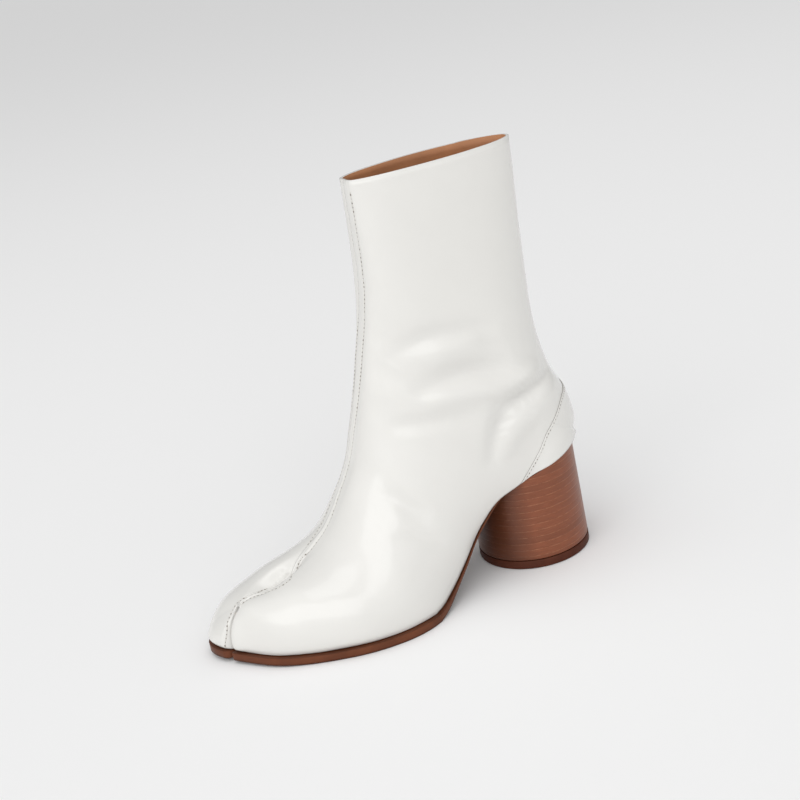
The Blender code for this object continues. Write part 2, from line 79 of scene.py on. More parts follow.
# Sizes of the upper
WALL = 0.0017
SHAFT_HEIGHT = 0.186
SPLIT_DEPTH = 0.034
SPLIT_GAP = 0.0018
SPLIT_CORNER = 0.0032
SPLIT_TOP = 0.004
SPLIT_X = -0.0050
COLLAR_SEAM_X = 0.0015
SEAM_BAND = 0.0044
SEAM_BAND_TOE = 0.0100
SEAM_BAND_TIP = 0.0015
TOE_VALLEY = 0.0075
FLAP_DROP = 0.118
FLAP_SET_BACK = 0.024

# Gaps between the pieces, and places that follow from the sizes
CLEARANCE = 0.0003
FEATHER_GAP = 0.0005
INSOLE_GAP = 0.0010
SEAT_BACK_Y = HEEL_RADIUS
COLLAR_TOP = HEEL_HEIGHT + SHAFT_HEIGHT

# How finely the pieces are meshed; QUARTER_ROUND is the handle of a curve that draws a quarter circle
TOE_RIBS = 34
RIBS = 300
RIB_POINTS = 46
LOWER_SHARE = 0.4
QUARTER_ROUND = 0.5523
OUTLINE_COUNT = 720
PLAN_POINTS = 360
SHEET_STEPS = 220
LAYER_STEP = 0.00025

# Grooves of the heel, between its layers and over the top lift
LINE_DEPTH = 0.0001
LINE_WIDTH = 0.00022
FOOT_DEPTH = 0.0006
FOOT_WIDTH = 0.00035

# Reliefs of the leather
SEAM_CROWN = 0.0004
SEAM_LIP = 0.0004
SEAM_LIP_OUT = 0.0009
SEAM_LIP_WIDTH = 0.0006
SEAM_GROOVE = 0.0004
SEAM_GROOVE_WIDTH = 0.00035
ROW_GROOVE = 0.00035
ROW_GROOVE_WIDTH = 0.00045
VALLEY_HIGH = 0.118
VALLEY_REACH = 0.045
SEAM_ROW = 0.0040
SEAM_ROW_TOE = 0.0022
FLAP_STEP = 0.0009
FLAP_LEAN = 0.10
FLAP_FOOT_SLOPE = 0.5
WAVINESS = 0.00009

# The leather at the seat, drawn out over the heel
SEAT_INSET = -0.0022
SEAT_OVERLAP = 0.0001
SEAT_ROUND = 0.022
SEAT_PROUD = 0.0003
SEAT_DRAFT = 0.03
SEAT_FLAT = 0.003
SEAT_FRONT_Y = -0.014
SEAT_FULL_Y = 0.004
SEAT_SOFTNESS = 0.0008

# The counter laid over the leather, and the columns and rows of its mesh
COUNTER_STEP = 0.0005
COUNTER_TUCK = 0.0004
COUNTER_CENTRE_Y = -0.002
COUNTER_COLUMNS = 200
COUNTER_ROWS = 26

# Stitch rows: how far they lie from edges, ends and each other's lengths, the step of their points, the
# ribs left free at the collar, and the radius of their threads
COUNTER_ROW_INSET = 0.0012
FLAP_ROW_INSET = 0.0022
FLAP_ROW_END = 0.004
FLAP_ROW_FOOT = 0.045
ROW_STEP = 0.0006
ROW_JOIN = 0.003
COLLAR_RIBS = 3
FRONT_THREAD = 0.00024
COUNTER_THREAD = 0.00018
FLAP_THREAD = 0.00022
HOLE_LIFT = 0.00008

# Rounded edges of the sole, the insole and the top lift
SOLE_EDGE = 0.00045
INSOLE_EDGE = 0.0007
LIFT_EDGE = 0.0006
BEVEL_ANGLE = math.radians(50)
SHARP_ANGLE = math.radians(40)

# Places clear of the boot: beside it, for rays cast inwards, and under the floor, for cutting blocks
OUTSIDE = 0.09
UNDER_FLOOR = -0.01

# Camera round the boot: it stands off along its azimuth and elevation, and is rolled.
CAMERA_AZIMUTH = 66.9
CAMERA_ELEVATION = 19.1
CAMERA_ROLL = -11.3
CAMERA_DISTANCE = 0.7984
CAMERA_AIM = (0, -0.0688, 0.1172)
CAMERA_FOCAL_SHARE = 1412.4 / 800

# The floor, and the area lights as width, height and place
FLOOR_RADIUS = 60.0
FLOOR_DROP = 0.0002
OVERHEAD = (2.2, 1.7, (0.3, -0.2, 3.0))
SOFTBOX = (6.4, 3.9, (3.4, -2.6, 2.8))
LIGHT_AIM = (0, -0.08, 0.08)
BRIGHT_SIDE = (0.62, -0.52, 0.59)

# Plan outline of the last from the middle of the heel's back, up the outer side to the toe and back
# down the inner side: side as a share of the half width there, along as a share of FOOT_LENGTH.
OUTLINE = (
    # side, along
    (0.00, 0.000), (0.43, 0.011), (0.76, 0.042), (0.94, 0.090), (1.00, 0.150), (0.98, 0.205),
    (0.875, 0.290), (0.785, 0.355), (0.78, 0.420), (0.86, 0.472), (0.985, 0.532), (1.045, 0.600),
    (1.03, 0.655), (0.97, 0.710), (0.85, 0.767), (0.74, 0.810), (0.60, 0.855), (0.44, 0.895),
    (0.24, 0.928), (0.04, 0.955), (-0.16, 0.979), (-0.34, 0.994), (-0.52, 0.996), (-0.70, 0.975),
    (-0.84, 0.930), (-0.93, 0.870), (-0.985, 0.800), (-1.00, 0.730), (-0.97, 0.655), (-0.87, 0.575),
    (-0.72, 0.490), (-0.66, 0.410), (-0.73, 0.330), (-0.87, 0.250), (-0.97, 0.170), (-0.93, 0.090),
    (-0.76, 0.042), (-0.43, 0.011),
)

# Height of the outsole's underside over the floor, from the seat's back to the ball.
SHANK = (
    # along, share of HEEL_HEIGHT
    (0.000, 1.125), (0.035, 1.108), (0.075, 1.080), (0.115, 1.044), (0.160, 0.992), (0.205, 0.932),
    (0.250, 0.860), (0.295, 0.755), (0.330, 0.630), (0.360, 0.500), (0.395, 0.325), (0.425, 0.205),
    (0.455, 0.110), (0.485, 0.042), (0.515, 0.008), (0.545, 0.000),
)

# Crest of the upper from the split toe up the instep to the collar.
CREST = (
    # along, share of HEEL_HEIGHT, share of SHAFT_HEIGHT
    (0.947, 0.00, 0.150), (0.930, 0.00, 0.172), (0.900, 0.00, 0.188), (0.865, 0.00, 0.199),
    (0.828, 0.00, 0.215), (0.778, 0.00, 0.234), (0.727, 0.01, 0.258), (0.693, 0.02, 0.284),
    (0.655, 0.08, 0.321), (0.621, 0.18, 0.355), (0.591, 0.31, 0.383), (0.568, 0.49, 0.411),
    (0.544, 0.69, 0.442), (0.525, 0.85, 0.476), (0.506, 0.96, 0.532), (0.489, 1.00, 0.605),
    (0.477, 1.00, 0.696), (0.470, 1.00, 0.820), (0.466, 1.00, 1.000),
)

# Back line of the upper from the seat to the collar.
BACK = (
    # out beyond the seat as a share of FOOT_LENGTH, share of the height from the seat to the collar
    (0.0000, 0.000), (0.0080, 0.020), (0.0117, 0.045), (0.0108, 0.070), (0.0064, 0.103),
    (-0.0042, 0.160), (-0.0254, 0.221), (-0.0403, 0.294), (-0.0487, 0.367), (-0.0508, 0.434),
    (-0.0487, 0.518), (-0.0435, 0.641), (-0.0403, 0.737), (-0.0339, 0.860), (-0.0275, 1.000),
)

# Ribs of one half of the upper from the toe to the collar's back. low runs 0 to 1 along the outline
# from toe to heel and 1 to 2 up the back line, high runs 0 to 1 up the crest, and turn says how far a
# rib faces along the foot. outer and inner are half widths as shares of half BALL_WIDTH, belly is the
# share of a rib's rise at which it is widest, and fullness rounds it above that, 2 for an ellipse.
RIB_TABLE = (
    # low, high, turn, outer, inner, belly, fullness
    (0.000, 0.000, 1.00, 0.90, 0.90, 0.30, 2.05),
    (0.060, 0.012, 1.00, 0.92, 0.92, 0.30, 2.05),
    (0.130, 0.048, 0.96, 0.98, 0.96, 0.30, 2.05),
    (0.170, 0.078, 0.90, 1.01, 0.98, 0.30, 2.05),
    (0.210, 0.108, 0.78, 1.04, 1.00, 0.30, 2.05),
    (0.250, 0.142, 0.61, 1.055, 1.015, 0.285, 2.03),
    (0.290, 0.177, 0.42, 1.07, 1.03, 0.27, 2.00),
    (0.370, 0.255, 0.15, 1.08, 1.04, 0.26, 1.80),
    (0.450, 0.338, 0.00, 1.03, 1.00, 0.27, 1.66),
    (0.540, 0.410, 0.00, 0.88, 0.87, 0.31, 1.66),
    (0.590, 0.447, 0.00, 0.82, 0.80, 0.325, 1.70),
    (0.640, 0.480, 0.00, 0.77, 0.75, 0.34, 1.75),
    (0.740, 0.535, 0.00, 0.735, 0.72, 0.34, 1.85),
    (0.840, 0.580, 0.00, 0.745, 0.73, 0.32, 1.95),
    (0.930, 0.615, 0.00, 0.745, 0.73, 0.30, 1.95),
    (1.000, 0.640, 0.00, 0.740, 0.73, 0.29, 1.95),
    (1.080, 0.665, 0.00, 0.725, 0.715, 0.29, 1.95),
    (1.180, 0.695, 0.00, 0.690, 0.685, 0.31, 1.95),
    (1.320, 0.740, 0.00, 0.620, 0.625, 0.36, 2.15),
    (1.500, 0.805, 0.00, 0.545, 0.560, 0.42, 2.40),
    (1.700, 0.880, 0.00, 0.470, 0.510, 0.47, 2.35),
    (2.000, 1.000, 0.00, 0.386, 0.466, 0.50, 2.00),
)

# Ribs inside the split, from its closed end to the toe, over the same part of the crest.
SPLIT_TABLE = (
    # low, belly, fullness
    (0.00, 0.10, 1.15), (0.50, 0.20, 1.30), (0.80, 0.27, 1.90), (1.00, 0.30, 2.05),
)


def spline(knots, values, at):
    """Natural cubic through the knots, read at the given places."""
    x = np.asarray(knots, float)
    y = np.asarray(values, float)
    step = np.diff(x)
    slope = np.diff(y) / step
    size = len(x)
    matrix = np.eye(size)
    right = np.zeros(size)
    for k in range(1, size - 1):
        matrix[k, k - 1] = step[k - 1]
        matrix[k, k] = 2 * (step[k - 1] + step[k])
        matrix[k, k + 1] = step[k]
        right[k] = 6 * (slope[k] - slope[k - 1])
    bend = np.linalg.solve(matrix, right)
    at = np.asarray(at, float)
    k = np.clip(np.searchsorted(x, at, side="right") - 1, 0, size - 2)
    a = (x[k + 1] - at) / step[k]
    b = (at - x[k]) / step[k]
    cubic = (a**3 - a) * bend[k] + (b**3 - b) * bend[k + 1]
    return a * y[k] + b * y[k + 1] + cubic * step[k] ** 2 / 6


def ease(low, high, at):
    """Smooth step from 0 at low to 1 at high."""
    t = np.clip((np.asarray(at, float) - low) / (high - low), 0, 1)
    return t * t * (3 - 2 * t)


def mix(a, b, share):
    return a + (b - a) * share


def run_of(points):
    """Length along a path at each of its points."""
    steps = np.linalg.norm(np.diff(points, axis=0), axis=1)
    return np.concatenate([[0], np.cumsum(steps)])


def read_path(at, run, points):
    """A path read straight between its points, at lengths along it."""
    return np.stack([np.interp(at, run, column) for column in points.T], -1)


def smooth_path(at, run, points):
    """A path read along a natural cubic, at lengths along it."""
    return np.stack([spline(run, column, at) for column in points.T], -1)


def unit(vectors):
    return vectors / np.linalg.norm(vectors, axis=-1)[..., None]


def y_of(along):
    return SEAT_BACK_Y - np.asarray(along, float) * FOOT_LENGTH


def along_of(y):
    return (SEAT_BACK_Y - np.asarray(y, float)) / FOOT_LENGTH


def half_width(along):
    return mix(SEAT_WIDTH, BALL_WIDTH, ease(0.2, 0.6, along)) / 2


def underside(y):
    """Height of the outsole's underside over the floor."""
    along = along_of(y)
    knots, shares = np.array(SHANK).T
    shank = spline(knots, shares, np.clip(along, 0, knots[-1])) * HEEL_HEIGHT
    shank = np.where(along < knots[-2], np.maximum(shank, 0), 0)
    return shank + TOE_SPRING * np.clip((along - 0.76) / 0.24, 0, None) ** 2


def sole_top(y):
    return underside(y) + mix(WAIST_THICKNESS, TREAD_THICKNESS, ease(0.34, 0.58, along_of(y)))


def lifted(surface, gap):
    """The height over a surface at a gap measured square to its slope."""
    def height(y):
        slope = (surface(np.asarray(y) + 0.0005) - surface(np.asarray(y) - 0.0005)) / 0.001
        return surface(y) + gap * np.hypot(1, slope)
    return height


# Undersides of the pieces that lie on the outsole, and the top of the heel under it.
on_sole = lifted(sole_top, CLEARANCE)
feather_line = lifted(sole_top, FEATHER_GAP)
insole_top = lifted(sole_top, CLEARANCE + INSOLE_THICKNESS)
heel_top = lifted(underside, -CLEARANCE)


def upper_foot(y):
    """Lower edge of the leather: on the sole, and over the sole's edge down to the heel at the seat."""
    drop = WAIST_THICKNESS + FEATHER_GAP + CLEARANCE - SEAT_OVERLAP
    return feather_line(y) - drop * ease(0.30, 0.22, along_of(y))


def outline(reach=None):
    """Closed plan outline of the last, from the heel's back by the outer side, grown by reach(y)."""
    rows = np.array(OUTLINE)
    rows = np.stack([rows[:, 0] * half_width(rows[:, 1]), y_of(rows[:, 1])], 1)
    lap = 4
    around = np.vstack([rows[-lap:], rows, rows[: lap + 1]])
    run = run_of(around)
    at = np.linspace(run[lap], run[lap + len(rows)], OUTLINE_COUNT + 1)[:-1]
    points = smooth_path(at, run, around)
    if reach is None:
        return points
    tangent = unit(np.roll(points, -1, 0) - np.roll(points, 1, 0))
    normal = np.stack([tangent[:, 1], -tangent[:, 0]], 1)
    outward = np.sign(normal[OUTLINE_COUNT // 4, 0])
    return points + outward * normal * reach(points[:, 1])[:, None]


def half_outline(side, reach=None, widen=0.0):
    """One half of the outline, split and all: the path from the split's end round the toe lobe to its
    corner, and the path on from the corner to the heel's back. side is +1 for the outer half.
    """
    points = outline(reach)
    if side < 0:
        points = np.vstack([points[:1], points[:0:-1]])
    wall = SPLIT_X + side * (SPLIT_GAP / 2 + widen)
    start = wall + side * SPLIT_CORNER
    near_toe = (points[:, 1] < y_of(0.9)) & (side * points[:, 0] < side * start)
    last = int(np.argmax(near_toe))
    before, after = points[last - 1], points[last]
    share = (start - before[0]) / (after[0] - before[0])
    first = mix(before, after, share)
    slope = (after[1] - before[1]) / (after[0] - before[0])
    knee = np.array([wall, first[1] + slope * (wall - start)])
    close = knee + np.array([0, SPLIT_CORNER])
    t = np.linspace(0, 1, 9)[:, None]
    corner = close * (1 - t) ** 2 + 2 * knee * t * (1 - t) + first * t * t
    end = np.array([[wall, y_of(1) + SPLIT_DEPTH + widen]])
    return np.vstack([end, corner]), np.vstack([first[None], points[:last][::-1]])


def welt(y):
    """How far the outsole stands out beyond the upper's edge; at the seat the leather covers it."""
    along = along_of(y)
    seen = mix(WAIST_WELT, TREAD_WELT, ease(0.34, 0.56, along))
    return mix(SEAT_INSET, seen, ease(0.24, 0.33, along))


def crest(high):
    """Points of the crest over the seam's middle."""
    rows = np.array(CREST)
    y = y_of(rows[:, 0])
    z = rows[:, 1] * HEEL_HEIGHT + rows[:, 2] * SHAFT_HEIGHT
    run = run_of(np.stack([y, z], 1))
    at = np.asarray(high, float) * run[-1]
    x_at = mix(SPLIT_X, COLLAR_SEAM_X, ease(0.05, 0.75, high))
    return np.stack([x_at, spline(run, y, at), spline(run, z, at)], -1)


def crest_frame(high):
    """Slope of the crest and its outward normal in the plane of the seam."""
    ahead = crest(np.clip(high + 0.01, 0, 1)) - crest(np.clip(high - 0.01, 0, 1))
    along = ahead[:, 2] / np.where(np.abs(ahead[:, 1]) < 1e-6, 1e-6, ahead[:, 1])
    normal = np.stack([0 * along, -ahead[:, 2], ahead[:, 1]], 1)
    return np.clip(along, -0.9, 0.9), unit(normal)


def back_line(rise):
    """Point of the back line at a share of its height."""
    rows = np.array(BACK)
    y = SEAT_BACK_Y + spline(rows[:, 1], rows[:, 0], rise) * FOOT_LENGTH
    seat = upper_foot(SEAT_BACK_Y)
    return np.array([0.0, float(y), float(mix(seat, COLLAR_TOP, rise))])


def rib_feet(path, places):
    """Lower ends of ribs: along a plan path as far as 1, then up the back line."""
    feet = []
    for place in places:
        if place > 1:
            feet.append(back_line(place - 1))
            continue
        run = run_of(path)
        x, y = read_path(place * run[-1], run, path)
        feet.append([x, y, float(upper_foot(y))])
    return np.array(feet)


def band_half(high):
    toe = mix(SEAM_BAND_TIP, SEAM_BAND_TOE, ease(0.012, 0.085, high))
    return mix(toe, SEAM_BAND, ease(0.13, 0.26, high))


def rib_places():
    """Rib columns from the toe to the collar, the first TOE_RIBS of them over the split."""
    table = np.array(RIB_TABLE)
    knots = np.arange(len(table), dtype=float)
    fine = np.linspace(0, knots[-1], 2000)
    high = np.maximum.accumulate(spline(knots, table[:, 1], fine))
    run = run_of(crest(np.linspace(0, 1, 400)))[-1]
    closed = np.interp(SPLIT_TOP / run, high, fine)
    at = np.concatenate([
        np.linspace(0, closed, TOE_RIBS + 1),
        np.linspace(closed, knots[-1], RIBS - TOE_RIBS)[1:],
    ])
    columns = [spline(knots, table[:, k], at) for k in range(table.shape[1])]
    for k, most in enumerate((2, 1, 1)):
        columns[k] = np.clip(columns[k], 0, most)
    return columns


def sweep(side, foot, high, turn, half, bulge_toe, belly, full):
    """Grid of ribs, each leaving its foot upright, swelling to its widest and closing on the crest."""
    head = crest(high)
    slope = crest_frame(high)[0]
    head[:, 0] += side * band_half(high)
    away = foot - head
    away[:, 2] = 0
    reach = unit(mix(np.array([side, 0.0, 0.0]), unit(away), turn[:, None]))
    bulge = mix(half - np.abs(foot[:, 0]), bulge_toe, turn)[:, None] * reach
    base = np.stack([head[:, 0], mix(foot[:, 1], head[:, 1], turn), foot[:, 2]], 1)
    arm = foot - base + bulge
    skew = slope * arm[:, 1]
    rise = head - base
    rise[:, 2] += skew
    arm[:, 2] = skew
    widest = foot + bulge + belly[:, None] * rise
    centre = widest - arm
    mast = head - centre
    round_share = ease(0.15, 0.7, np.linalg.norm(bulge, axis=1) / half)[:, None]
    first = foot + bulge * mix(0.45, QUARTER_ROUND, round_share)
    first += belly[:, None] * rise * mix(0.15, 0.0, round_share)
    second = widest - QUARTER_ROUND * belly[:, None] * rise
    lower = round(RIB_POINTS * LOWER_SHARE)
    upper = RIB_POINTS - lower
    grid = np.zeros((len(high), RIB_POINTS, 3))
    for k in range(lower):
        t = k / lower
        grid[:, k] = foot * (1 - t) ** 3 + 3 * first * t * (1 - t) ** 2
        grid[:, k] += 3 * second * t * t * (1 - t) + widest * t**3
    power = (2 / full)[:, None]
    for k in range(upper):
        angle = math.pi / 2 * k / (upper - 1)
        out, up = max(math.cos(angle), 0.0), max(math.sin(angle), 0.0)
        grid[:, lower + k] = centre + arm * out**power + mast * up**power
    return grid


def half_upper(side):
    """Two grids of one half of the upper: inside the split, and from the toe to the collar."""
    split_path, edge_path = half_outline(side)
    low, high, turn, outer, inner, belly, full = rib_places()
    half = (outer if side > 0 else inner) * BALL_WIDTH / 2
    body = sweep(side, rib_feet(edge_path, low), high, turn, half, TOE_BULGE, belly, full)
    table = np.array(SPLIT_TABLE)
    toe = slice(0, TOE_RIBS + 1)
    share = 1 - high[toe] / high[TOE_RIBS]
    place, belly, full = (np.interp(share, table[:, 0], column) for column in table.T)
    swell = TOE_BULGE * ease(0.75, 1.0, place)
    foot = rib_feet(split_path, place)
    split = sweep(side, foot, high[toe], np.ones(TOE_RIBS + 1), half[toe], swell, belly, full)
    split[0] = body[0]
    return split, body, high


def split_close(outer, inner, first_row):
    """Grid over the split's closed end, up to the first row of the seam band."""
    columns = len(first_row)
    share = np.linspace(0, 1, columns)
    grid = outer[:, None] * (1 - share)[None, :, None] + inner[:, None] * share[None, :, None]
    dip = first_row - grid[-1]
    fade = np.linspace(0, 1, len(outer)) ** 6
    return grid + fade[:, None, None] * dip[None]


def add_grid(bm, grid, flip):
    """Quads over a grid of points."""
    rows, columns = grid.shape[:2]
    verts = [[bm.verts.new(grid[i, j]) for j in range(columns)] for i in range(rows)]
    for i in range(rows - 1):
        for j in range(columns - 1):
            corners = [verts[i][j], verts[i][j + 1], verts[i + 1][j + 1], verts[i + 1][j]]
            bm.faces.new(corners[::-1] if flip else corners)


# Furrows and ridges of the leather in side view.
FOLDS = (
    # side, reach mm, height mm, points as (along, share of COLLAR_TOP)
    (1, 5.0, -2.1, ((0.475, 0.595), (0.449, 0.610), (0.427, 0.620), (0.364, 0.632), (0.308, 0.626),
                    (0.245, 0.615), (0.191, 0.601))),
    (1, 5.5, -3.2, ((0.440, 0.512), (0.406, 0.521), (0.371, 0.529), (0.302, 0.533), (0.236, 0.522),
                    (0.184, 0.516))),
    (1, 6.5, 1.7, ((0.407, 0.577), (0.345, 0.585), (0.281, 0.586), (0.240, 0.586))),
    (1, 5.0, 2.9, ((0.436, 0.492), (0.370, 0.486), (0.315, 0.478), (0.257, 0.471), (0.204, 0.462),
                   (0.151, 0.470), (0.085, 0.484))),
    (1, 4.5, -2.1, ((0.506, 0.459), (0.453, 0.448), (0.395, 0.442), (0.334, 0.429), (0.290, 0.419))),
    (1, 4.2, -4.0, ((0.060, 0.475), (0.105, 0.453), (0.143, 0.445), (0.179, 0.437), (0.212, 0.428),
                    (0.236, 0.411), (0.256, 0.388), (0.271, 0.357), (0.283, 0.323), (0.290, 0.290))),
    (1, 7.0, 2.4, ((0.065, 0.409), (0.128, 0.406), (0.173, 0.391), (0.207, 0.368), (0.232, 0.344),
                   (0.248, 0.299))),
    (1, 5.0, -1.8, ((0.568, 0.316), (0.544, 0.295), (0.509, 0.261), (0.472, 0.236))),
    (1, 3.4, -1.4, ((0.590, 0.223), (0.564, 0.217), (0.530, 0.206), (0.494, 0.189), (0.451, 0.170))),
    (-1, 5.2, -1.9, ((0.468, 0.600), (0.420, 0.615), (0.340, 0.610), (0.270, 0.590), (0.215, 0.575))),
    (-1, 5.4, -2.7, ((0.450, 0.515), (0.380, 0.520), (0.300, 0.505), (0.220, 0.490))),
    (-1, 5.6, 2.2, ((0.440, 0.487), (0.360, 0.480), (0.280, 0.468), (0.180, 0.452), (0.100, 0.470))),
    (-1, 4.4, -3.0, ((0.070, 0.462), (0.140, 0.440), (0.200, 0.420), (0.250, 0.380), (0.278, 0.330))),
    (-1, 5.0, -1.6, ((0.565, 0.300), (0.525, 0.270), (0.475, 0.240))),
)

# Small dents and swells of the leather.
DENTS = (
    # x, y, z in mm, reach mm, height mm
    (-5.4, -154.7, 37.0, 2.2, -0.7),
    (-9.0, -155.0, 38.6, 1.5, 1.0),
    (-8.6, -157.6, 37.4, 1.5, 1.1),
    (-8.0, -160.4, 36.2, 1.5, 1.1),
    (-7.4, -163.2, 35.0, 1.4, 0.8),
    (30.0, -98.0, 63.0, 7.0, 0.8),
)

# Stitched edge of the heel counter in side view, from the back down to the sole.
COUNTER_LINE = (
    # along, share of COLLAR_TOP
    (0.000, 0.410), (0.0275, 0.402), (0.059, 0.391), (0.0775, 0.378), (0.098, 0.356), (0.131, 0.325),
    (0.150, 0.301), (0.167, 0.281), (0.186, 0.259), (0.204, 0.239), (0.224, 0.213),
)

# How far the front seam's middle lies to the outer side of the crest.
SEAM_SHIFT = (
    # share of the crest, mm
    (0.15, 0.0), (0.19, -2.3), (0.23, -4.6), (0.35, -6.4), (0.50, -3.8), (0.58, -2.1), (0.69, -0.4),
    (0.77, 1.0), (1.00, 1.6),
)

# Stitch rows over the toes, from the vamp down to the sole.
OUTER_TOE_ROW = (
    # x, y, z in mm
    (-4.1, -143.6, 46.5), (-2.9, -149.5, 42.0), (2.6, -154.6, 40.5), (7.4, -158.2, 41.0),
    (7.7, -163.2, 39.4), (5.2, -168.4, 37.6), (2.1, -172.4, 36.0), (-1.0, -178.4, 34.8),
    (-2.8, -182.4, 33.4), (-3.3, -186.4, 31.2),
)
INNER_TOE_ROW = (
    (-7.6, -167.4, 34.0), (-5.6, -172.3, 34.4), (-4.4, -177.4, 34.8), (-5.4, -181.3, 34.1),
    (-7.4, -184.9, 32.6), (-8.4, -187.8, 30.4), (-8.4, -190.4, 27.8), (-7.8, -193.4, 24.1),
    (-7.3, -195.8, 18.9), (-7.3, -198.2, 13.3), (-7.6, -199.5, 9.8),
)


# Form of one stitch from end to end.
STITCH_FORM = (
    # share of its length, share of its radius, how far it is sunk
    (-0.5, 0.35, 1.0), (-0.36, 0.85, 0.35), (-0.12, 1.0, 0.0), (0.12, 1.0, 0.0), (0.36, 0.85, 0.35),
    (0.5, 0.35, 1.0),
)


def side_path(rows, count=40):
    """Smooth side-view line through rows of along and share of the collar's height."""
    table = np.array(rows)
    points = np.stack([y_of(table[:, 0]), table[:, 1] * COLLAR_TOP], 1)
    run = run_of(points)
    at = np.linspace(0, run[-1], count)
    return smooth_path(at, run, points)


def near_path(path, y, z):
    """Signed distance from a side-view line and the share of its length at the nearest place."""
    best = np.full(len(y), np.inf)
    share = np.zeros(len(y))
    sign = np.ones(len(y))
    run = run_of(path)
    for k in range(len(path) - 1):
        step = path[k + 1] - path[k]
        length = np.hypot(*step)
        ahead = ((y - path[k, 0]) * step[0] + (z - path[k, 1]) * step[1]) / length**2
        t = np.clip(ahead, 0, 1)
        gap_y = y - path[k, 0] - t * step[0]
        gap_z = z - path[k, 1] - t * step[1]
        gap = np.hypot(gap_y, gap_z)
        closer = gap < best
        best = np.where(closer, gap, best)
        share = np.where(closer, (run[k] + t * length) / run[-1], share)
        sign = np.where(closer, np.sign(step[0] * gap_z - step[1] * gap_y), sign)
    return best * sign, share


def hump(distance, reach):
    return np.exp(-((distance / reach) ** 2))


def seam_offset(high):
    """Distance of the two stitch rows from the middle of the front seam."""
    return mix(SEAM_ROW_TOE, SEAM_ROW, ease(0.13, 0.30, high))


def seam_shift(high):
    """How far the seam's middle lies to the outer side of the crest."""
    table = np.array(SEAM_SHIFT)
    return np.interp(high, table[:, 0], table[:, 1]) * MM


def seam_band(outer, inner, high):
    """Grid over the front seam from one half's crest edge to the other's: lips on both sides of the
    seam, a groove under each stitch row, and the valley between the toe lobes.
    """
    reach = np.concatenate([np.linspace(0, 0.34, 9), np.linspace(0.36, 0.5, 15)])
    share = np.concatenate([reach, 1 - reach[:-1][::-1]])
    half = band_half(high)[:, None]
    row = seam_offset(high)[:, None]
    toe = 1 - ease(0.13, 0.30, high)[:, None]
    share = share[None, :]
    across = (share - 0.5) * 2 * half + seam_shift(high)[:, None]
    edge = np.clip(np.minimum(share, 1 - share) * 2 * half / SEAM_LIP_WIDTH, 0, 1)
    valley = TOE_VALLEY * hump(high - VALLEY_HIGH, VALLEY_REACH)[:, None]
    crown = SEAM_CROWN * np.clip(1 - (across / row) ** 2, 0, 1)
    lips = SEAM_LIP * hump(np.abs(across) - SEAM_LIP_OUT, SEAM_LIP_WIDTH) * toe
    groove = -SEAM_GROOVE * hump(across, SEAM_GROOVE_WIDTH) * toe
    rows = -ROW_GROOVE * hump(np.abs(across) - row, ROW_GROOVE_WIDTH)
    height = (crown + lips + groove + rows) * edge * ease(0.0, 0.06, high)[:, None]
    height = height - valley * np.sin(math.pi * share) ** 2
    grid = outer[:, None] * (1 - share)[:, :, None] + inner[:, None] * share[:, :, None]
    return grid + height[:, :, None] * crest_frame(high)[1][:, None]


def outer_grids():
    """Grids of the leather's outer face: both halves, the seam band and the split's closed end."""
    halves = {side: half_upper(side) for side in (1, -1)}
    split_outer, body_outer, high = halves[1]
    split_inner, body_inner, high = halves[-1]
    over = seam_band(body_outer[TOE_RIBS:, -1], body_inner[TOE_RIBS:, -1], high[TOE_RIBS:])
    close = split_close(split_outer[-1], split_inner[-1], over[0])
    return halves, over, close, high


def flap_share(x, y, z):
    """1 on the closing flap behind the inner ankle, 0 off it, with a soft edge."""
    flap_y = back_line(1.0)[1] - FLAP_SET_BACK
    side = -(y - flap_y) + FLAP_LEAN * (z - COLLAR_TOP)
    foot = FLAP_FOOT_SLOPE * (y - flap_y) - (z - COLLAR_TOP + FLAP_DROP)
    edge = 0.0005
    inside = ease(edge, -edge, side) * ease(edge, -edge, foot)
    return inside * ease(0.0, -0.004, x)


def relief(points, normals):
    """Height of the leather over its plain form: folds, dents, flap and a slight waviness."""
    x, y, z = points.T
    height = np.zeros(len(points))
    for side, reach, lift, rows in FOLDS:
        gap, share = near_path(side_path(rows), y, z)
        fade = np.sin(math.pi * np.clip(share, 0, 1)) ** 0.7
        facing = ease(0.05, 0.7, side * normals[:, 0])
        height += lift * MM * fade * facing * hump(gap, reach * MM)
    for px, py, pz, reach, lift in DENTS:
        gap = np.linalg.norm(points - np.array([px, py, pz]) * MM, axis=1)
        height += lift * MM * hump(gap, reach * MM)
    height += FLAP_STEP * flap_share(x, y, z)
    wave = np.sin(2 * math.pi * (y / 0.041 + z / 0.067) + 1.3)
    wave = wave * np.sin(2 * math.pi * (z / 0.036 - x / 0.05))
    return height + WAVINESS * wave


def seat_round(points):
    """Draws the lower edge of the leather out to the round of the heel behind the arch."""
    x, y, z = points.T
    above = z - upper_foot(y)
    share = (1 - ease(SEAT_FLAT, SEAT_ROUND, above)) * ease(SEAT_FRONT_Y, SEAT_FULL_Y, y)
    radius = np.maximum(np.hypot(x, y), 0.001)
    wanted = HEEL_RADIUS + SEAT_PROUD - SEAT_DRAFT * above
    short = wanted - radius
    push = 0.5 * (short + np.hypot(short, SEAT_SOFTNESS)) * share
    points[:, :2] *= (1 + push / radius)[:, None]


def mesh_arrays(mesh):
    points = np.zeros(len(mesh.vertices) * 3)
    normals = np.zeros(len(mesh.vertices) * 3)
    mesh.vertices.foreach_get("co", points)
    mesh.vertices.foreach_get("normal", normals)
    return points.reshape(-1, 3), normals.reshape(-1, 3)


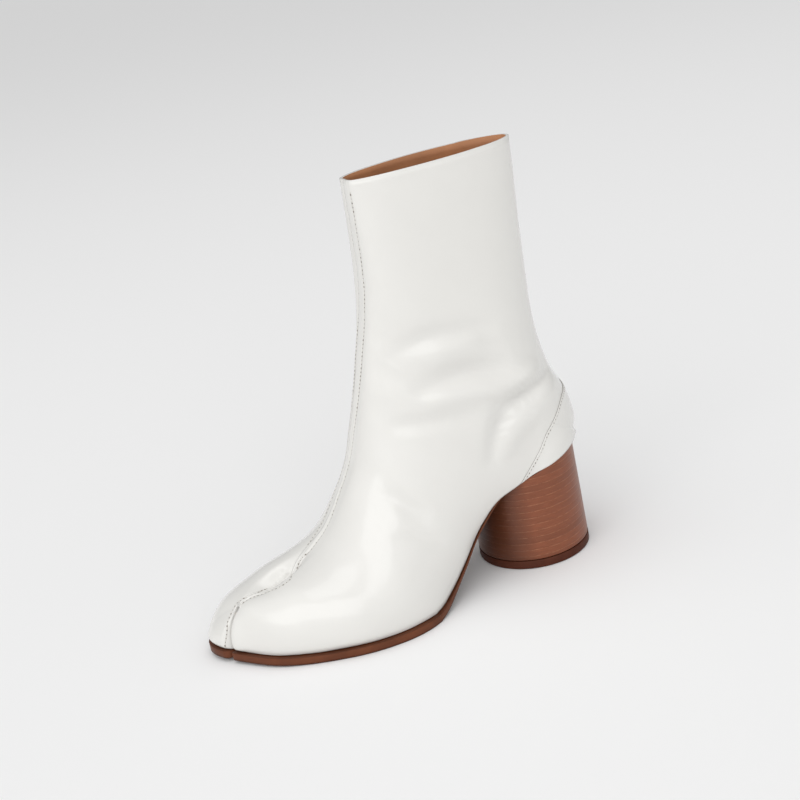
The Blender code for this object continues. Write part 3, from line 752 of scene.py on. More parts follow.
def leather_face():
    """Outer face of the upper, finely meshed and with its relief; in the split it is white on both
    sides.
    """
    halves, over, close, _ = outer_grids()
    bm = bmesh.new()
    for side, (split, body, _) in halves.items():
        add_grid(bm, split, side > 0)
    add_grid(bm, close, False)
    for face in bm.faces:
        face.material_index = 2
    for side, (split, body, _) in halves.items():
        add_grid(bm, body, side < 0)
    add_grid(bm, over, True)
    bmesh.ops.remove_doubles(bm, verts=bm.verts, dist=0.00002)
    bmesh.ops.dissolve_degenerate(bm, edges=bm.edges, dist=0.00001)
    bmesh.ops.recalc_face_normals(bm, faces=bm.faces)
    mesh = bpy.data.meshes.new("leather")
    bm.to_mesh(mesh)
    bm.free()
    points, normals = mesh_arrays(mesh)
    points += normals * relief(points, normals)[:, None]
    seat_round(points)
    mesh.vertices.foreach_set("co", points.ravel())
    mesh.update()
    return mesh


def point_rows(halves, over, high):
    """Stitch rows of the front seam: the outer one in one length from the collar down over the toes,
    the inner one in two, down to the vamp and over the big toe.
    """
    rows = []
    for side, toe in ((1, OUTER_TOE_ROW), (-1, INNER_TOE_ROW)):
        toe = np.array(toe) * MM
        row = []
        for k in range(len(high) - COLLAR_RIBS, TOE_RIBS, -1):
            band = over[k - TOE_RIBS]
            path = np.vstack([halves[1][1][k], band[1:-1], halves[-1][1][k][::-1]])
            run = run_of(path)
            middle = run[len(halves[1][1][k]) - 1 + len(band) // 2]
            reach = middle - float(seam_shift(high[k])) - side * float(seam_offset(high[k]))
            spot = read_path(reach, run, path)
            if spot[1] < OUTER_TOE_ROW[0][1] * MM + ROW_JOIN and spot[2] < HEEL_HEIGHT:
                break
            row.append(spot)
        lengths = [np.vstack([np.array(row), toe])] if side > 0 else [np.array(row), toe]
        for points in lengths:
            run = run_of(points)
            at = np.arange(0, run[-1], ROW_STEP)
            rows.append(smooth_path(at, run, points))
    return rows


def side_hit(tree, side, y, z):
    """Where the leather lies, seen square from one side; None where it isn't met."""
    return tree.ray_cast(Vector((side * OUTSIDE, y, z)), Vector((-side, 0, 0)))[0]


def counter_rows(tree):
    """Stitch row on each side just inside the counter's edge."""
    rows = []
    path = side_path(COUNTER_LINE, 60)
    ahead = np.gradient(path, axis=0)
    inward = unit(np.stack([-ahead[:, 1], ahead[:, 0]], 1))
    path = path + inward * COUNTER_ROW_INSET
    for side in (1, -1):
        row = []
        for y, z in path[4:-3]:
            hit = side_hit(tree, side, y, z)
            if hit is not None and abs(hit.x) > 0.006:
                row.append(hit)
        rows.append(np.array(row))
    return rows


def counter_patch(tree, halves):
    """Leather counter laid round the heel over the upper, tucked in at its edges."""
    path = []
    for y, z in side_path(COUNTER_LINE, 60):
        hit = side_hit(tree, 1, y, z)
        if hit is not None:
            path.append((math.atan2(hit.x, hit.y - COUNTER_CENTRE_Y), z))
    path = np.array(sorted(path))
    foot = halves[1][1][:, 0]
    foot = foot[foot[:, 1] > COUNTER_CENTRE_Y - 0.05]
    turn = np.arctan2(foot[:, 0], foot[:, 1] - COUNTER_CENTRE_Y)
    order = np.argsort(turn)
    turns = np.linspace(-path[-1, 0], path[-1, 0], COUNTER_COLUMNS)
    top = np.interp(np.abs(turns), path[:, 0], path[:, 1])
    low = np.interp(np.abs(turns), turn[order], foot[order, 2]) + COUNTER_TUCK
    rise = np.concatenate([[0, 0], np.linspace(0, 1, COUNTER_ROWS), [1, 1]])
    proud = np.full(len(rise), COUNTER_STEP)
    proud[[1, -2]] = COUNTER_STEP * 0.6
    proud[[0, -1]] = -COUNTER_TUCK
    grid = []
    for angle, high, bottom in zip(turns, top, low):
        ahead = Vector((math.sin(angle), math.cos(angle), 0))
        column = []
        for share, lift in zip(rise, proud):
            height = mix(bottom, max(high, bottom), share)
            start = Vector((0, COUNTER_CENTRE_Y, height)) + ahead * OUTSIDE
            spot, normal, _, _ = tree.ray_cast(start, -ahead)
            if spot is None:
                spot, normal, _, _ = tree.find_nearest(start - ahead * 0.05)
            column.append(spot + normal * lift)
        grid.append(column)
    bm = bmesh.new()
    add_grid(bm, np.array(grid), False)
    bmesh.ops.recalc_face_normals(bm, faces=bm.faces)
    return bm


def flap_rows(tree):
    """Stitch row just inside the closing flap's two free edges, on the inner side."""
    flap_y = back_line(1.0)[1] - FLAP_SET_BACK
    corner_z = COLLAR_TOP - FLAP_DROP
    row = []
    for z in np.linspace(COLLAR_TOP - FLAP_ROW_END, corner_z + FLAP_ROW_END, 60):
        row.append((flap_y + FLAP_ROW_INSET + FLAP_LEAN * (z - COLLAR_TOP), z))
    last_y = row[-1][0]
    for y in np.linspace(last_y + 0.001, last_y + FLAP_ROW_FOOT, 30):
        row.append((y, corner_z + FLAP_ROW_INSET + FLAP_FOOT_SLOPE * (y - flap_y)))
    hits = []
    for y, z in row:
        hit = side_hit(tree, -1, y, z)
        if hit is not None and hit.x < -0.002:
            hits.append(hit)
    return [np.array(hits)]


def sampled(row, pitch):
    """Points at an even pitch along a row, and the way it runs there."""
    run = run_of(row)
    count = max(int(run[-1] / pitch), 2)
    at = (np.arange(count) + 0.5) * run[-1] / count
    near, ahead, back = (read_path(at + shift, run, row) for shift in (0, 0.0004, -0.0004))
    return near, unit(ahead - back)


def bridge(bm, rings):
    """Quads between closed rings that follow each other."""
    for low, high in zip(rings, rings[1:]):
        for k in range(len(low)):
            after = (k + 1) % len(low)
            bm.faces.new([low[k], low[after], high[after], high[k]])


def add_stitch(bm, centre, run, normal, length, radius):
    """One thread stitch: a capsule that dips into the leather at both ends."""
    side = np.cross(normal, run)
    rings = []
    for share, size, sink in STITCH_FORM:
        middle = centre + run * length * share + normal * radius * (0.35 - sink * 0.9)
        ring = []
        for k in range(6):
            angle = math.tau * k / 6
            offset = side * math.cos(angle) + normal * math.sin(angle)
            ring.append(bm.verts.new(middle + offset * radius * size))
        rings.append(ring)
    bridge(bm, rings)
    bm.faces.new(rings[0][::-1])
    bm.faces.new(rings[-1])


def add_hole(bm, centre, run, normal, radius):
    """One needle hole: a small dark disc on the leather, painted shade for the dark inside the hole."""
    side = np.cross(normal, run)
    ring = []
    for k in range(8):
        angle = math.tau * k / 8
        offset = run * math.cos(angle) * 1.25 + side * math.sin(angle)
        ring.append(bm.verts.new(centre + normal * HOLE_LIFT + offset * radius))
    top = bm.verts.new(centre + normal * HOLE_LIFT * 1.75)
    for k in range(8):
        bm.faces.new([ring[k], ring[(k + 1) % 8], top])


def stitch_meshes(rows, tree, settings, radius):
    """Threads, and dark discs of painted shade for the needle holes, along rows that lie on the leather.
    """
    threads, dots = bmesh.new(), bmesh.new()
    chance = np.random.default_rng(len(rows) + len(rows[0]))
    for row in rows:
        if len(row) < 3:
            continue
        centres, runs = sampled(row, settings.pitch)
        for centre, run in zip(centres, runs):
            spot, normal, _, _ = tree.find_nearest(Vector(centre))
            normal = np.array(normal)
            run = run - normal * run.dot(normal)
            run = run / max(np.linalg.norm(run), 1e-9)
            add_stitch(threads, np.array(spot), run, normal, settings.stitch, radius)
            gap = np.array(spot) + run * settings.pitch / 2
            hole, outward, _, _ = tree.find_nearest(Vector(gap))
            size = radius * settings.hole * chance.uniform(0.55, 1.25)
            add_hole(dots, np.array(hole), run, np.array(outward), size)
    return threads, dots


def new_object(name, mesh):
    made = bpy.data.objects.new(name, mesh)
    bpy.context.scene.collection.objects.link(made)
    return made


def object_from(name, bm):
    mesh = bpy.data.meshes.new(name)
    bm.to_mesh(mesh)
    bm.free()
    return new_object(name, mesh)


def plan_polygon(reach, widen):
    """Closed plan of both halves with the split left open between them."""
    loops = []
    for side in (1, -1):
        split, edge = half_outline(side, reach, widen)
        path = np.vstack([split, edge[1:]])
        run = run_of(path)
        keep = np.linspace(0, run[-1], PLAN_POINTS // 2 + 1)
        keep = np.unique(np.concatenate([run[: len(split)], keep[keep > run[len(split) - 1] + 0.0004]]))
        loops.append(read_path(keep, run, path))
    outer, inner = loops
    return np.vstack([outer, inner[:-1][::-1]])


def prism(name, polygon):
    """Upright block over a plan polygon, from under the floor to above the sole."""
    bm = bmesh.new()
    face = bm.faces.new([bm.verts.new((x, y, UNDER_FLOOR)) for x, y in polygon])
    made = bmesh.ops.extrude_face_region(bm, geom=[face])
    for item in made["geom"]:
        if isinstance(item, bmesh.types.BMVert):
            item.co.z = HEEL_HEIGHT * 1.5
    bmesh.ops.recalc_face_normals(bm, faces=bm.faces)
    return object_from(name, bm)


def sheet(name, low, high):
    """Wide block whose underside and top follow two heights along the foot."""
    y = np.linspace(SEAT_BACK_Y + 0.01, y_of(1) - 0.012, SHEET_STEPS)
    bm = bmesh.new()
    profile = [(v, float(low(v))) for v in y] + [(v, float(high(v))) for v in y[::-1]]
    rings = [[bm.verts.new((x, v, z)) for v, z in profile] for x in (-BALL_WIDTH, BALL_WIDTH)]
    bridge(bm, rings)
    for k in range(len(y) - 1):
        far = len(profile) - 1 - k
        for ring in rings:
            bm.faces.new([ring[k], ring[k + 1], ring[far - 1], ring[far]])
    bmesh.ops.recalc_face_normals(bm, faces=bm.faces)
    return object_from(name, bm)


def shared_part(name, block, cutter):
    """What two blocks share, as a new object; both blocks go."""
    change = block.modifiers.new("inside", "BOOLEAN")
    change.operation = "INTERSECT"
    change.solver = "EXACT"
    change.object = cutter
    bpy.context.view_layer.update()
    graph = bpy.context.evaluated_depsgraph_get()
    mesh = bpy.data.meshes.new_from_object(block.evaluated_get(graph))
    mesh.name = name
    for thing in (block, cutter):
        bpy.data.objects.remove(thing, do_unlink=True)
    return new_object(name, mesh)


def soften(made, width, segments):
    """Rounded edges, and smooth shading between them."""
    change = made.modifiers.new("edge", "BEVEL")
    change.width = width
    change.segments = segments
    change.limit_method = "ANGLE"
    change.angle_limit = BEVEL_ANGLE
    change.harden_normals = False
    made.data.shade_smooth()


def sole_edge_share(made):
    """Marks each point with its share of the sole's thickness, 0 below and 1 above."""
    points, _ = mesh_arrays(made.data)
    low = underside(points[:, 1])
    share = (points[:, 2] - low) / (sole_top(points[:, 1]) - low)
    mark = made.data.attributes.new("edge_share", "FLOAT", "POINT")
    mark.data.foreach_set("value", np.clip(share, 0, 1))


def lathe(name, profile, sides):
    """Solid of revolution about the upright axis from (radius, height) pairs, closed at both ends."""
    bm = bmesh.new()
    rings = []
    for radius, height in profile:
        turns = [math.tau * k / sides for k in range(sides)]
        rings.append([bm.verts.new((radius * math.cos(a), radius * math.sin(a), height)) for a in turns])
    bridge(bm, rings)
    bm.faces.new(rings[0][::-1])
    bm.faces.new(rings[-1])
    return object_from(name, bm)


# Material building

def put(tree, kind, entries=None, **settings):
    """New node: settings set its properties, entries link or set its inputs."""
    made = tree.nodes.new(kind)
    for key, value in settings.items():
        setattr(made, key, value)
    for key, value in (entries or {}).items():
        entry = made.inputs[key]
        if isinstance(value, bpy.types.NodeSocket):
            tree.links.new(value, entry)
        else:
            entry.default_value = value
    return made


def arithmetic(tree, operation, a, b=0.0):
    return put(tree, "ShaderNodeMath", {0: a, 1: b}, operation=operation).outputs[0]


def times(tree, a, b):
    return arithmetic(tree, "MULTIPLY", a, b)


def dot(tree, a, b):
    return put(tree, "ShaderNodeVectorMath", {0: a, 1: b}, operation="DOT_PRODUCT").outputs["Value"]


def blend_colours(tree, share, a, b):
    return put(tree, "ShaderNodeMix", {0: share, 6: a, 7: b}, data_type="RGBA").outputs[2]


def ramp(tree, value, stops):
    """Grey ramp over (place, level) stops."""
    made = put(tree, "ShaderNodeValToRGB", {0: value})
    elements = made.color_ramp.elements
    while len(elements) < len(stops):
        elements.new(0.5)
    for element, (place, level) in zip(elements, stops):
        element.position = place
        element.color = (level, level, level, 1)
    return made.outputs[0]


def noise(tree, where, scale, detail=3.0, roughness=0.5):
    entries = {"Vector": where, "Scale": scale, "Detail": detail, "Roughness": roughness}
    return put(tree, "ShaderNodeTexNoise", entries).outputs["Fac"]


def object_place(tree):
    return put(tree, "ShaderNodeTexCoord").outputs["Object"]


def stretched(tree, where, scale):
    return put(tree, "ShaderNodeMapping", {"Vector": where, "Scale": scale}).outputs[0]


def group_of(name, inputs, outputs):
    """Empty node group with named sockets and their defaults; a tuple stands for a colour."""
    tree = bpy.data.node_groups.new(name, "ShaderNodeTree")
    for way, sockets in (("INPUT", inputs), ("OUTPUT", outputs)):
        for label, default in sockets.items():
            kind = "NodeSocketColor" if isinstance(default, tuple) else "NodeSocketFloat"
            socket = tree.interface.new_socket(name=label, in_out=way, socket_type=kind)
            socket.default_value = default
    entry = tree.nodes.new("NodeGroupInput")
    leave = tree.nodes.new("NodeGroupOutput")
    return tree, entry.outputs, leave.inputs


def mottle_group():
    """A colour that drifts towards a second one in soft patches."""
    first, second = (0.8, 0.8, 0.8, 1), (0.7, 0.7, 0.7, 1)
    tree, given, out = group_of(
        "soft_mottle", {"Colour": first, "Second Colour": second, "Amount": 0.5, "Scale": 30.0},
        {"Colour": first, "Mask": 0.0})
    where = object_place(tree)
    broad = noise(tree, where, given["Scale"], 4.0, 0.55)
    mask = times(tree, ramp(tree, broad, ((0.35, 0.0), (0.68, 1.0))), given["Amount"])
    tree.links.new(blend_colours(tree, mask, given["Colour"], given["Second Colour"]), out["Colour"])
    tree.links.new(mask, out["Mask"])
    return tree


def grain_group():
    """Fine grain of leather: pores between small pebbles, over faint wrinkles."""
    tree, given, out = group_of(
        "leather_grain", {"Scale": 900.0, "Wrinkle": 0.3}, {"Height": 0.0, "Pores": 0.0})
    where = object_place(tree)
    cells = put(tree, "ShaderNodeTexVoronoi", {"Vector": where, "Scale": given["Scale"]})
    cells = cells.outputs["Distance"]
    pores = ramp(tree, cells, ((0.0, 1.0), (0.35, 0.0)))
    wrinkle = noise(tree, where, times(tree, given["Scale"], 0.12), 5.0, 0.6)
    height = arithmetic(tree, "ADD", times(tree, cells, 0.5),
                        times(tree, wrinkle, given["Wrinkle"]))
    tree.links.new(height, out["Height"])
    tree.links.new(pores, out["Pores"])
    return tree


def layer_group():
    """Stacked layers: thin broken lines between them, and a tone of its own for each layer."""
    tree, given, out = group_of(
        "stack_layers", {"Layer": 0.004, "Line": 0.06, "Waver": 0.0004},
        {"Line": 0.0, "Tone": 0.0, "Streak": 0.0})
    where = object_place(tree)
    height = put(tree, "ShaderNodeSeparateXYZ", {0: where}).outputs["Z"]
    waver = noise(tree, stretched(tree, where, (1, 1, 0.2)), 90.0, 5.0, 0.7)
    waver = times(tree, arithmetic(tree, "SUBTRACT", waver, 0.5), given["Waver"])
    place = arithmetic(tree, "DIVIDE", arithmetic(tree, "ADD", height, waver), given["Layer"])
    within = arithmetic(tree, "FRACT", place)
    edge = arithmetic(tree, "MINIMUM", within, arithmetic(tree, "SUBTRACT", 1.0, within))
    line = arithmetic(tree, "LESS_THAN", edge, given["Line"])
    broken = noise(tree, stretched(tree, where, (1, 1, 0.4)), 300.0, 4.0, 0.8)
    line = times(tree, line, ramp(tree, broken, ((0.40, 0.05), (0.62, 1.0))))
    number = arithmetic(tree, "FLOOR", place)
    tone = put(tree, "ShaderNodeTexWhiteNoise", {"W": number}, noise_dimensions="1D").outputs["Value"]
    streak = noise(tree, stretched(tree, where, (1, 1, 9)), 120.0, 5.0, 0.65)
    for name, value in (("Line", line), ("Tone", tone), ("Streak", streak)):
        tree.links.new(value, out[name])
    return tree


def rgba(colour, factor=1.0):
    """A colour made lighter or darker by a factor, as the four numbers of a colour socket."""
    return (*(min(part * factor, 1.0) for part in colour), 1)


def material(name, colour, roughness, specular=0.5, coat=0.0, coat_roughness=0.03):
    """Material with its constants on the shader's own sockets; returns it, its tree and its shader."""
    made = bpy.data.materials.new(name)
    made.use_nodes = True
    tree = made.node_tree
    shader = tree.nodes["Principled BSDF"]
    for key, value in (("Base Color", rgba(colour)), ("Roughness", roughness),
                       ("Specular IOR Level", specular), ("Coat Weight", coat),
                       ("Coat Roughness", coat_roughness)):
        shader.inputs[key].default_value = value
    return made, tree, shader


def painted(tree, shader, colour):
    tree.links.new(colour, shader.inputs["Base Color"])


def bumped(tree, shader, height, distance, strength):
    made = put(tree, "ShaderNodeBump", {"Height": height, "Distance": distance, "Strength": strength})
    tree.links.new(made.outputs[0], shader.inputs["Normal"])


def use_group(tree, name, **values):
    made = put(tree, "ShaderNodeGroup", node_tree=bpy.data.node_groups[name])
    for key, value in values.items():
        made.inputs[key.replace("_", " ")].default_value = value
    return made.outputs


def mottled(tree, colour, factor, amount, scale):
    """Outputs of the mottle between a colour and a lighter or darker one."""
    return use_group(tree, "soft_mottle", Colour=rgba(colour), Second_Colour=rgba(colour, factor),
                     Amount=amount, Scale=scale)


def white_leather(settings):
    made, tree, shader = material(
        "white_leather", settings.leather, settings.gloss, coat=0.6, coat_roughness=0.09)
    patch = mottled(tree, settings.leather, 0.965, 0.5, 26.0)
    # Painted shade: the leather darkens towards the seam edge's shadow colour where the counter's seam
    # mark is set.
    seam = put(tree, "ShaderNodeAttribute", attribute_name="seam").outputs["Fac"]
    tone = blend_colours(tree, times(tree, seam, 0.8), patch["Colour"], rgba(settings.seam))
    painted(tree, shader, tone)
    grain = use_group(tree, "leather_grain", Scale=1500.0, Wrinkle=0.7)
    rough = arithmetic(tree, "ADD", times(tree, patch["Mask"], 0.03), settings.gloss)
    tree.links.new(rough, shader.inputs["Roughness"])
    bumped(tree, shader, grain["Height"], 0.00003, 0.5)
    return made


def lining_leather(settings):
    made, tree, shader = material("lining_leather", settings.lining, 0.62)
    patch = mottled(tree, settings.lining, 0.72, 0.6, 55.0)
    painted(tree, shader, patch["Colour"])
    grain = use_group(tree, "leather_grain", Scale=900.0, Wrinkle=0.8)
    bumped(tree, shader, grain["Height"], 0.00012, 0.7)
    return made


def thread_material(settings):
    made, tree, shader = material("thread", settings.thread, 0.55)
    where = object_place(tree)
    twist = put(tree, "ShaderNodeTexWave", {"Vector": where, "Scale": 900.0}, bands_direction="DIAGONAL")
    bumped(tree, shader, twist.outputs["Fac"], 0.00005, 0.6)
    tone = blend_colours(tree, noise(tree, where, 400.0), rgba(settings.thread),
                         rgba(settings.thread, 0.8))
    painted(tree, shader, tone)
    return made


def hole_shade_material():
    # Painted shade: the dark inside a needle hole, varied by noise.
    made, tree, shader = material("needle_hole_shade", (0.25, 0.22, 0.19), 0.9)
    tone = blend_colours(tree, noise(tree, object_place(tree), 700.0), (0.16, 0.14, 0.12, 1),
                         (0.42, 0.39, 0.35, 1))
    painted(tree, shader, tone)
    return made


def sole_material(settings):
    made, tree, shader = material("sole_leather", settings.sole, 0.42, 0.2)
    patch = mottled(tree, settings.sole, 0.66, 0.7, 70.0)
    share = put(tree, "ShaderNodeAttribute", attribute_name="edge_share").outputs["Fac"]
    # Painted shade: a thin dark line along the sole's top edge, where the leather meets it. The sole is
    # also darker towards its bottom edge.
    top = ramp(tree, share, ((0.88, 0.0), (1.0, 0.35)))
    low = ramp(tree, share, ((0.0, 0.8), (0.26, 0.0)))
    tone = blend_colours(tree, top, patch["Colour"], rgba(settings.sole, 0.16))
    tone = blend_colours(tree, low, tone, rgba(settings.sole, 0.22))
    painted(tree, shader, tone)
    where = object_place(tree)
    fibre = noise(tree, stretched(tree, where, (1, 1, 7)), 260.0, 5.0, 0.65)
    rough = ramp(tree, fibre, ((0.3, 0.34), (0.7, 0.52)))
    tree.links.new(rough, shader.inputs["Roughness"])
    bumped(tree, shader, fibre, 0.00006, 0.6)
    return made


def heel_material(settings):
    made, tree, shader = material("heel_stack", settings.stack, 0.34, 0.4)
    layers = use_group(tree, "stack_layers", Layer=settings.layer, Line=0.05, Waver=0.0016)
    tone = blend_colours(tree, layers["Tone"], rgba(settings.stack, 0.9), rgba(settings.stack, 1.08))
    streak = ramp(tree, layers["Streak"], ((0.32, 0.0), (0.72, 1.0)))
    tone = blend_colours(tree, times(tree, streak, 0.45), tone,
                         rgba(settings.stack, 0.55))
    tone = blend_colours(tree, times(tree, layers["Line"], 0.6), tone, rgba(settings.line))
    # Painted shade: the heel's front beneath the arch is darkened towards the dark side's heading, where
    # the boot shades it.
    breast = math.radians(settings.breast)
    heading = (math.sin(breast), -math.cos(breast), 0)
    nearness = arithmetic(tree, "DIVIDE", dot(tree, object_place(tree), heading), HEEL_RADIUS)
    painted_shade = times(tree, ramp(tree, nearness, ((0.70, 0.0), (0.97, 1.0))), 0.8)
    tone = blend_colours(tree, painted_shade, tone, rgba(settings.stack, 0.30))
    painted(tree, shader, tone)
    height = arithmetic(tree, "SUBTRACT", times(tree, layers["Streak"], 0.4), layers["Line"])
    bumped(tree, shader, height, 0.00005, 0.6)
    return made


def lift_material(settings):
    made, tree, shader = material("top_lift_rubber", settings.lift, 0.5, 0.12)
    patch = mottled(tree, settings.lift, 1.5, 0.5, 140.0)
    painted(tree, shader, patch["Colour"])
    fine = noise(tree, object_place(tree), 1400.0, 4.0, 0.7)
    bumped(tree, shader, fine, 0.00005, 0.5)
    return made


def floor_material(colour):
    made, tree, shader = material("pale_floor", colour, 1.0, 0.0)
    fine = noise(tree, object_place(tree), 260.0, 4.0, 0.6)
    tone = blend_colours(tree, times(tree, fine, 0.03), rgba(colour),
                         rgba(colour, 0.9))
    painted(tree, shader, tone)
    return made


class BootLeather(bpy.types.PropertyGroup):
    leather: FloatVectorProperty(
        name="Leather", description="Colour of the outer leather", subtype="COLOR", size=3,
        min=0, max=1, default=(0.755, 0.745, 0.715))
    seam: FloatVectorProperty(
        name="Seam edge", description="Colour in the shadow of a seam's edge", subtype="COLOR", size=3,
        min=0, max=1, default=(0.20, 0.19, 0.17))
    gloss: FloatProperty(
        name="Roughness", description="Roughness of the outer leather under its gloss", default=0.24,
        min=0.02, max=1)
    lining: FloatVectorProperty(
        name="Lining", description="Colour of the lining", subtype="COLOR", size=3, min=0, max=1,
        default=(0.46, 0.20, 0.088))
    thread: FloatVectorProperty(
        name="Thread", description="Colour of the seam thread", subtype="COLOR", size=3, min=0, max=1,
        default=(0.74, 0.72, 0.67))
    pitch: FloatProperty(
        name="Stitch pitch", description="Distance between stitches", unit="LENGTH", default=0.0023,
        min=0.001, max=0.01)
    stitch: FloatProperty(
        name="Stitch length", description="Length of one stitch", unit="LENGTH", default=0.0015,
        min=0.0005, max=0.008)
    hole: FloatProperty(
        name="Needle hole", description="Size of a needle hole as a share of the thread", default=1.8,
        min=0.2, max=4)


class BootBottom(bpy.types.PropertyGroup):
    sole: FloatVectorProperty(
        name="Sole", description="Colour of the stained sole", subtype="COLOR", size=3, min=0, max=1,
        default=(0.150, 0.046, 0.019))
    stack: FloatVectorProperty(
        name="Heel", description="Colour of the stacked heel", subtype="COLOR", size=3, min=0, max=1,
        default=(0.235, 0.070, 0.030))
    line: FloatVectorProperty(
        name="Heel lines", description="Colour of the lines between layers", subtype="COLOR", size=3,
        min=0, max=1, default=(0.40, 0.17, 0.085))
    lift: FloatVectorProperty(
        name="Top lift", description="Colour of the top lift", subtype="COLOR", size=3, min=0, max=1,
        default=(0.075, 0.022, 0.012))
    # The dark side is painted shade on the heel's front under the arch, darkest at this heading.
    breast: FloatProperty(
        name="Dark side",
        description="Where the heel is stained darkest, in degrees from the toe to the outer side",
        default=20.0, min=-180, max=180)
    layer: FloatProperty(
        name="Layer", description="Thickness of one layer of the heel", unit="LENGTH", default=0.0040,
        min=0.001, max=0.01)
    sides: IntProperty(name="Sides", description="Sides of the round heel", default=160, min=32, max=512)


class BootStage(bpy.types.PropertyGroup):
    floor: FloatVectorProperty(
        name="Floor", description="Colour of the floor", subtype="COLOR", size=3, min=0, max=1,
        default=(0.90, 0.90, 0.90))
    world: FloatProperty(
        name="Surroundings", description="Brightness on the bright side", default=1.02, min=0, max=5)
    horizon: FloatProperty(
        name="Far side", description="Brightness away from the bright side as a share of it",
        default=0.42, min=0, max=1)
    overhead: FloatProperty(
        name="Overhead light", description="Power of the light above", unit="POWER", default=12.0, min=0)
    softbox: FloatProperty(
        name="Softbox", description="Power of the large light at the side", unit="POWER", default=75.0,
        min=0)


class BOOT_OT_upper(bpy.types.Operator):
    """Make the leather upper with its folds, seams and lining"""
    bl_idname = "boot.upper"
    bl_label = "Upper"

    def execute(self, context):
        settings = context.scene.boot_leather
        leather = new_object("leather_upper", leather_face())
        leather.data.materials.append(white_leather(settings))
        leather.data.materials.append(lining_leather(settings))
        leather.data.materials.append(leather.data.materials[0])
        wall = leather.modifiers.new("wall", "SOLIDIFY")
        wall.thickness = WALL
        wall.offset = -1
        wall.material_offset = 1
        leather.data.shade_smooth()
        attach(leather, "root")
        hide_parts("upper")
        return {"FINISHED"}


class BOOT_OT_stitches(bpy.types.Operator):
    """Sew the front seam, the counter and the closing flap"""
    bl_idname = "boot.stitches"
    bl_label = "Stitches"

    def execute(self, context):
        settings = context.scene.boot_leather
        leather = bpy.data.objects["leather_upper"]
        face = bmesh.new()
        face.from_mesh(leather.data)
        tree = BVHTree.FromBMesh(face)
        halves, over, _, high = outer_grids()
        patch = counter_patch(tree, halves)
        counter_tree = BVHTree.FromBMesh(patch)
        counter = object_from("heel_counter", patch)
        # The two rows of points at the counter's top edge are marked for painted shade: the shadow of its
        # seam's edge.
        seam = np.zeros((COUNTER_COLUMNS, COUNTER_ROWS + 4))
        seam[:, -2:] = 1
        mark = counter.data.attributes.new("seam", "FLOAT", "POINT")
        mark.data.foreach_set("value", seam.ravel())
        counter.data.materials.append(leather.data.materials[0])
        counter.data.shade_smooth()
        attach(counter, "root")
        kinds = (
            ("front_seam", point_rows(halves, over, high), FRONT_THREAD, tree),
            ("counter_seam", counter_rows(counter_tree), COUNTER_THREAD, counter_tree),
            ("flap_seam", flap_rows(tree), FLAP_THREAD, tree),
        )
        thread, hole = thread_material(settings), hole_shade_material()
        for name, rows, radius, under in kinds:
            threads, dots = stitch_meshes(rows, under, settings, radius)
            for part, surface, bm in (("thread", thread, threads), ("holes", hole, dots)):
                piece = object_from(f"{name}_{part}", bm)
                piece.data.shade_smooth()
                piece.data.materials.append(surface)
                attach(piece, "root")
        face.free()
        return {"FINISHED"}


class BOOT_OT_sole(bpy.types.Operator):
    """Make the stained leather outsole"""
    bl_idname = "boot.sole"
    bl_label = "Outsole"

    def execute(self, context):
        edge = prism("sole_plan", plan_polygon(welt, 0.0))
        sole = shared_part("sole", sheet("sole_block", underside, sole_top), edge)
        sole_edge_share(sole)
        soften(sole, SOLE_EDGE, 2)
        sole.data.materials.append(sole_material(context.scene.boot_bottom))
        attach(sole, "root")
        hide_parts("outsole")
        return {"FINISHED"}


class BOOT_OT_insole(bpy.types.Operator):
    """Make the lined insole"""
    bl_idname = "boot.insole"
    bl_label = "Insole"

    def execute(self, context):
        inset = WALL + INSOLE_GAP
        plan = plan_polygon(lambda y: np.full_like(y, -inset), inset)
        edge = prism("insole_plan", plan)
        sock = shared_part("sock", sheet("sock_block", on_sole, insole_top), edge)
        soften(sock, INSOLE_EDGE, 3)
        sock.data.materials.append(bpy.data.materials["lining_leather"])
        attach(sock, "root")
        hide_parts("insole")
        return {"FINISHED"}


class BOOT_OT_heel(bpy.types.Operator):
    """Make the stacked heel and its top lift"""
    bl_idname = "boot.heel"
    bl_label = "Heel"

    def execute(self, context):
        settings = context.scene.boot_bottom
        foot = TOP_LIFT_HEIGHT + CLEARANCE
        top = HEEL_HEIGHT * 1.2
        profile = [(HEEL_RADIUS * 0.5, foot)]
        for height in np.arange(0, top - foot, LAYER_STEP):
            height += foot
            radius = HEEL_RADIUS - HEEL_TAPER * height / HEEL_HEIGHT
            place = height / settings.layer
            near_line = abs(place - round(place)) * settings.layer
            radius -= LINE_DEPTH * float(hump(near_line, LINE_WIDTH))
            radius -= FOOT_DEPTH * math.exp(-(height - foot) / FOOT_WIDTH)
            profile.append((radius, height))
        profile.append((profile[-1][0], top))
        block = lathe("heel_block", profile, settings.sides)
        under = sheet("heel_top", lambda y: UNDER_FLOOR, heel_top)
        heel = shared_part("stacked_heel", block, under)
        heel.data.shade_smooth()
        heel.data.set_sharp_from_angle(angle=SHARP_ANGLE)
        heel.data.materials.append(heel_material(settings))
        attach(heel, "root")
        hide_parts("heel")

        turns = [(math.cos(angle), math.sin(angle)) for angle in (math.pi / 10 * k for k in range(1, 6))]
        low, top = LIFT_EDGE, LIFT_EDGE / 2
        profile = [(HEEL_RADIUS - low, 0.0)]
        profile += [(HEEL_RADIUS - low + low * out, low - low * up) for up, out in turns]
        profile += [(HEEL_RADIUS - top + top * out, TOP_LIFT_HEIGHT - top + top * up) for out, up in turns]
        lift = lathe("rubber_lift", profile, settings.sides)
        lift.data.shade_smooth()
        lift.data.set_sharp_from_angle(angle=SHARP_ANGLE)
        lift.data.materials.append(lift_material(settings))
        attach(lift, "root")
        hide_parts("top_lift")
        return {"FINISHED"}


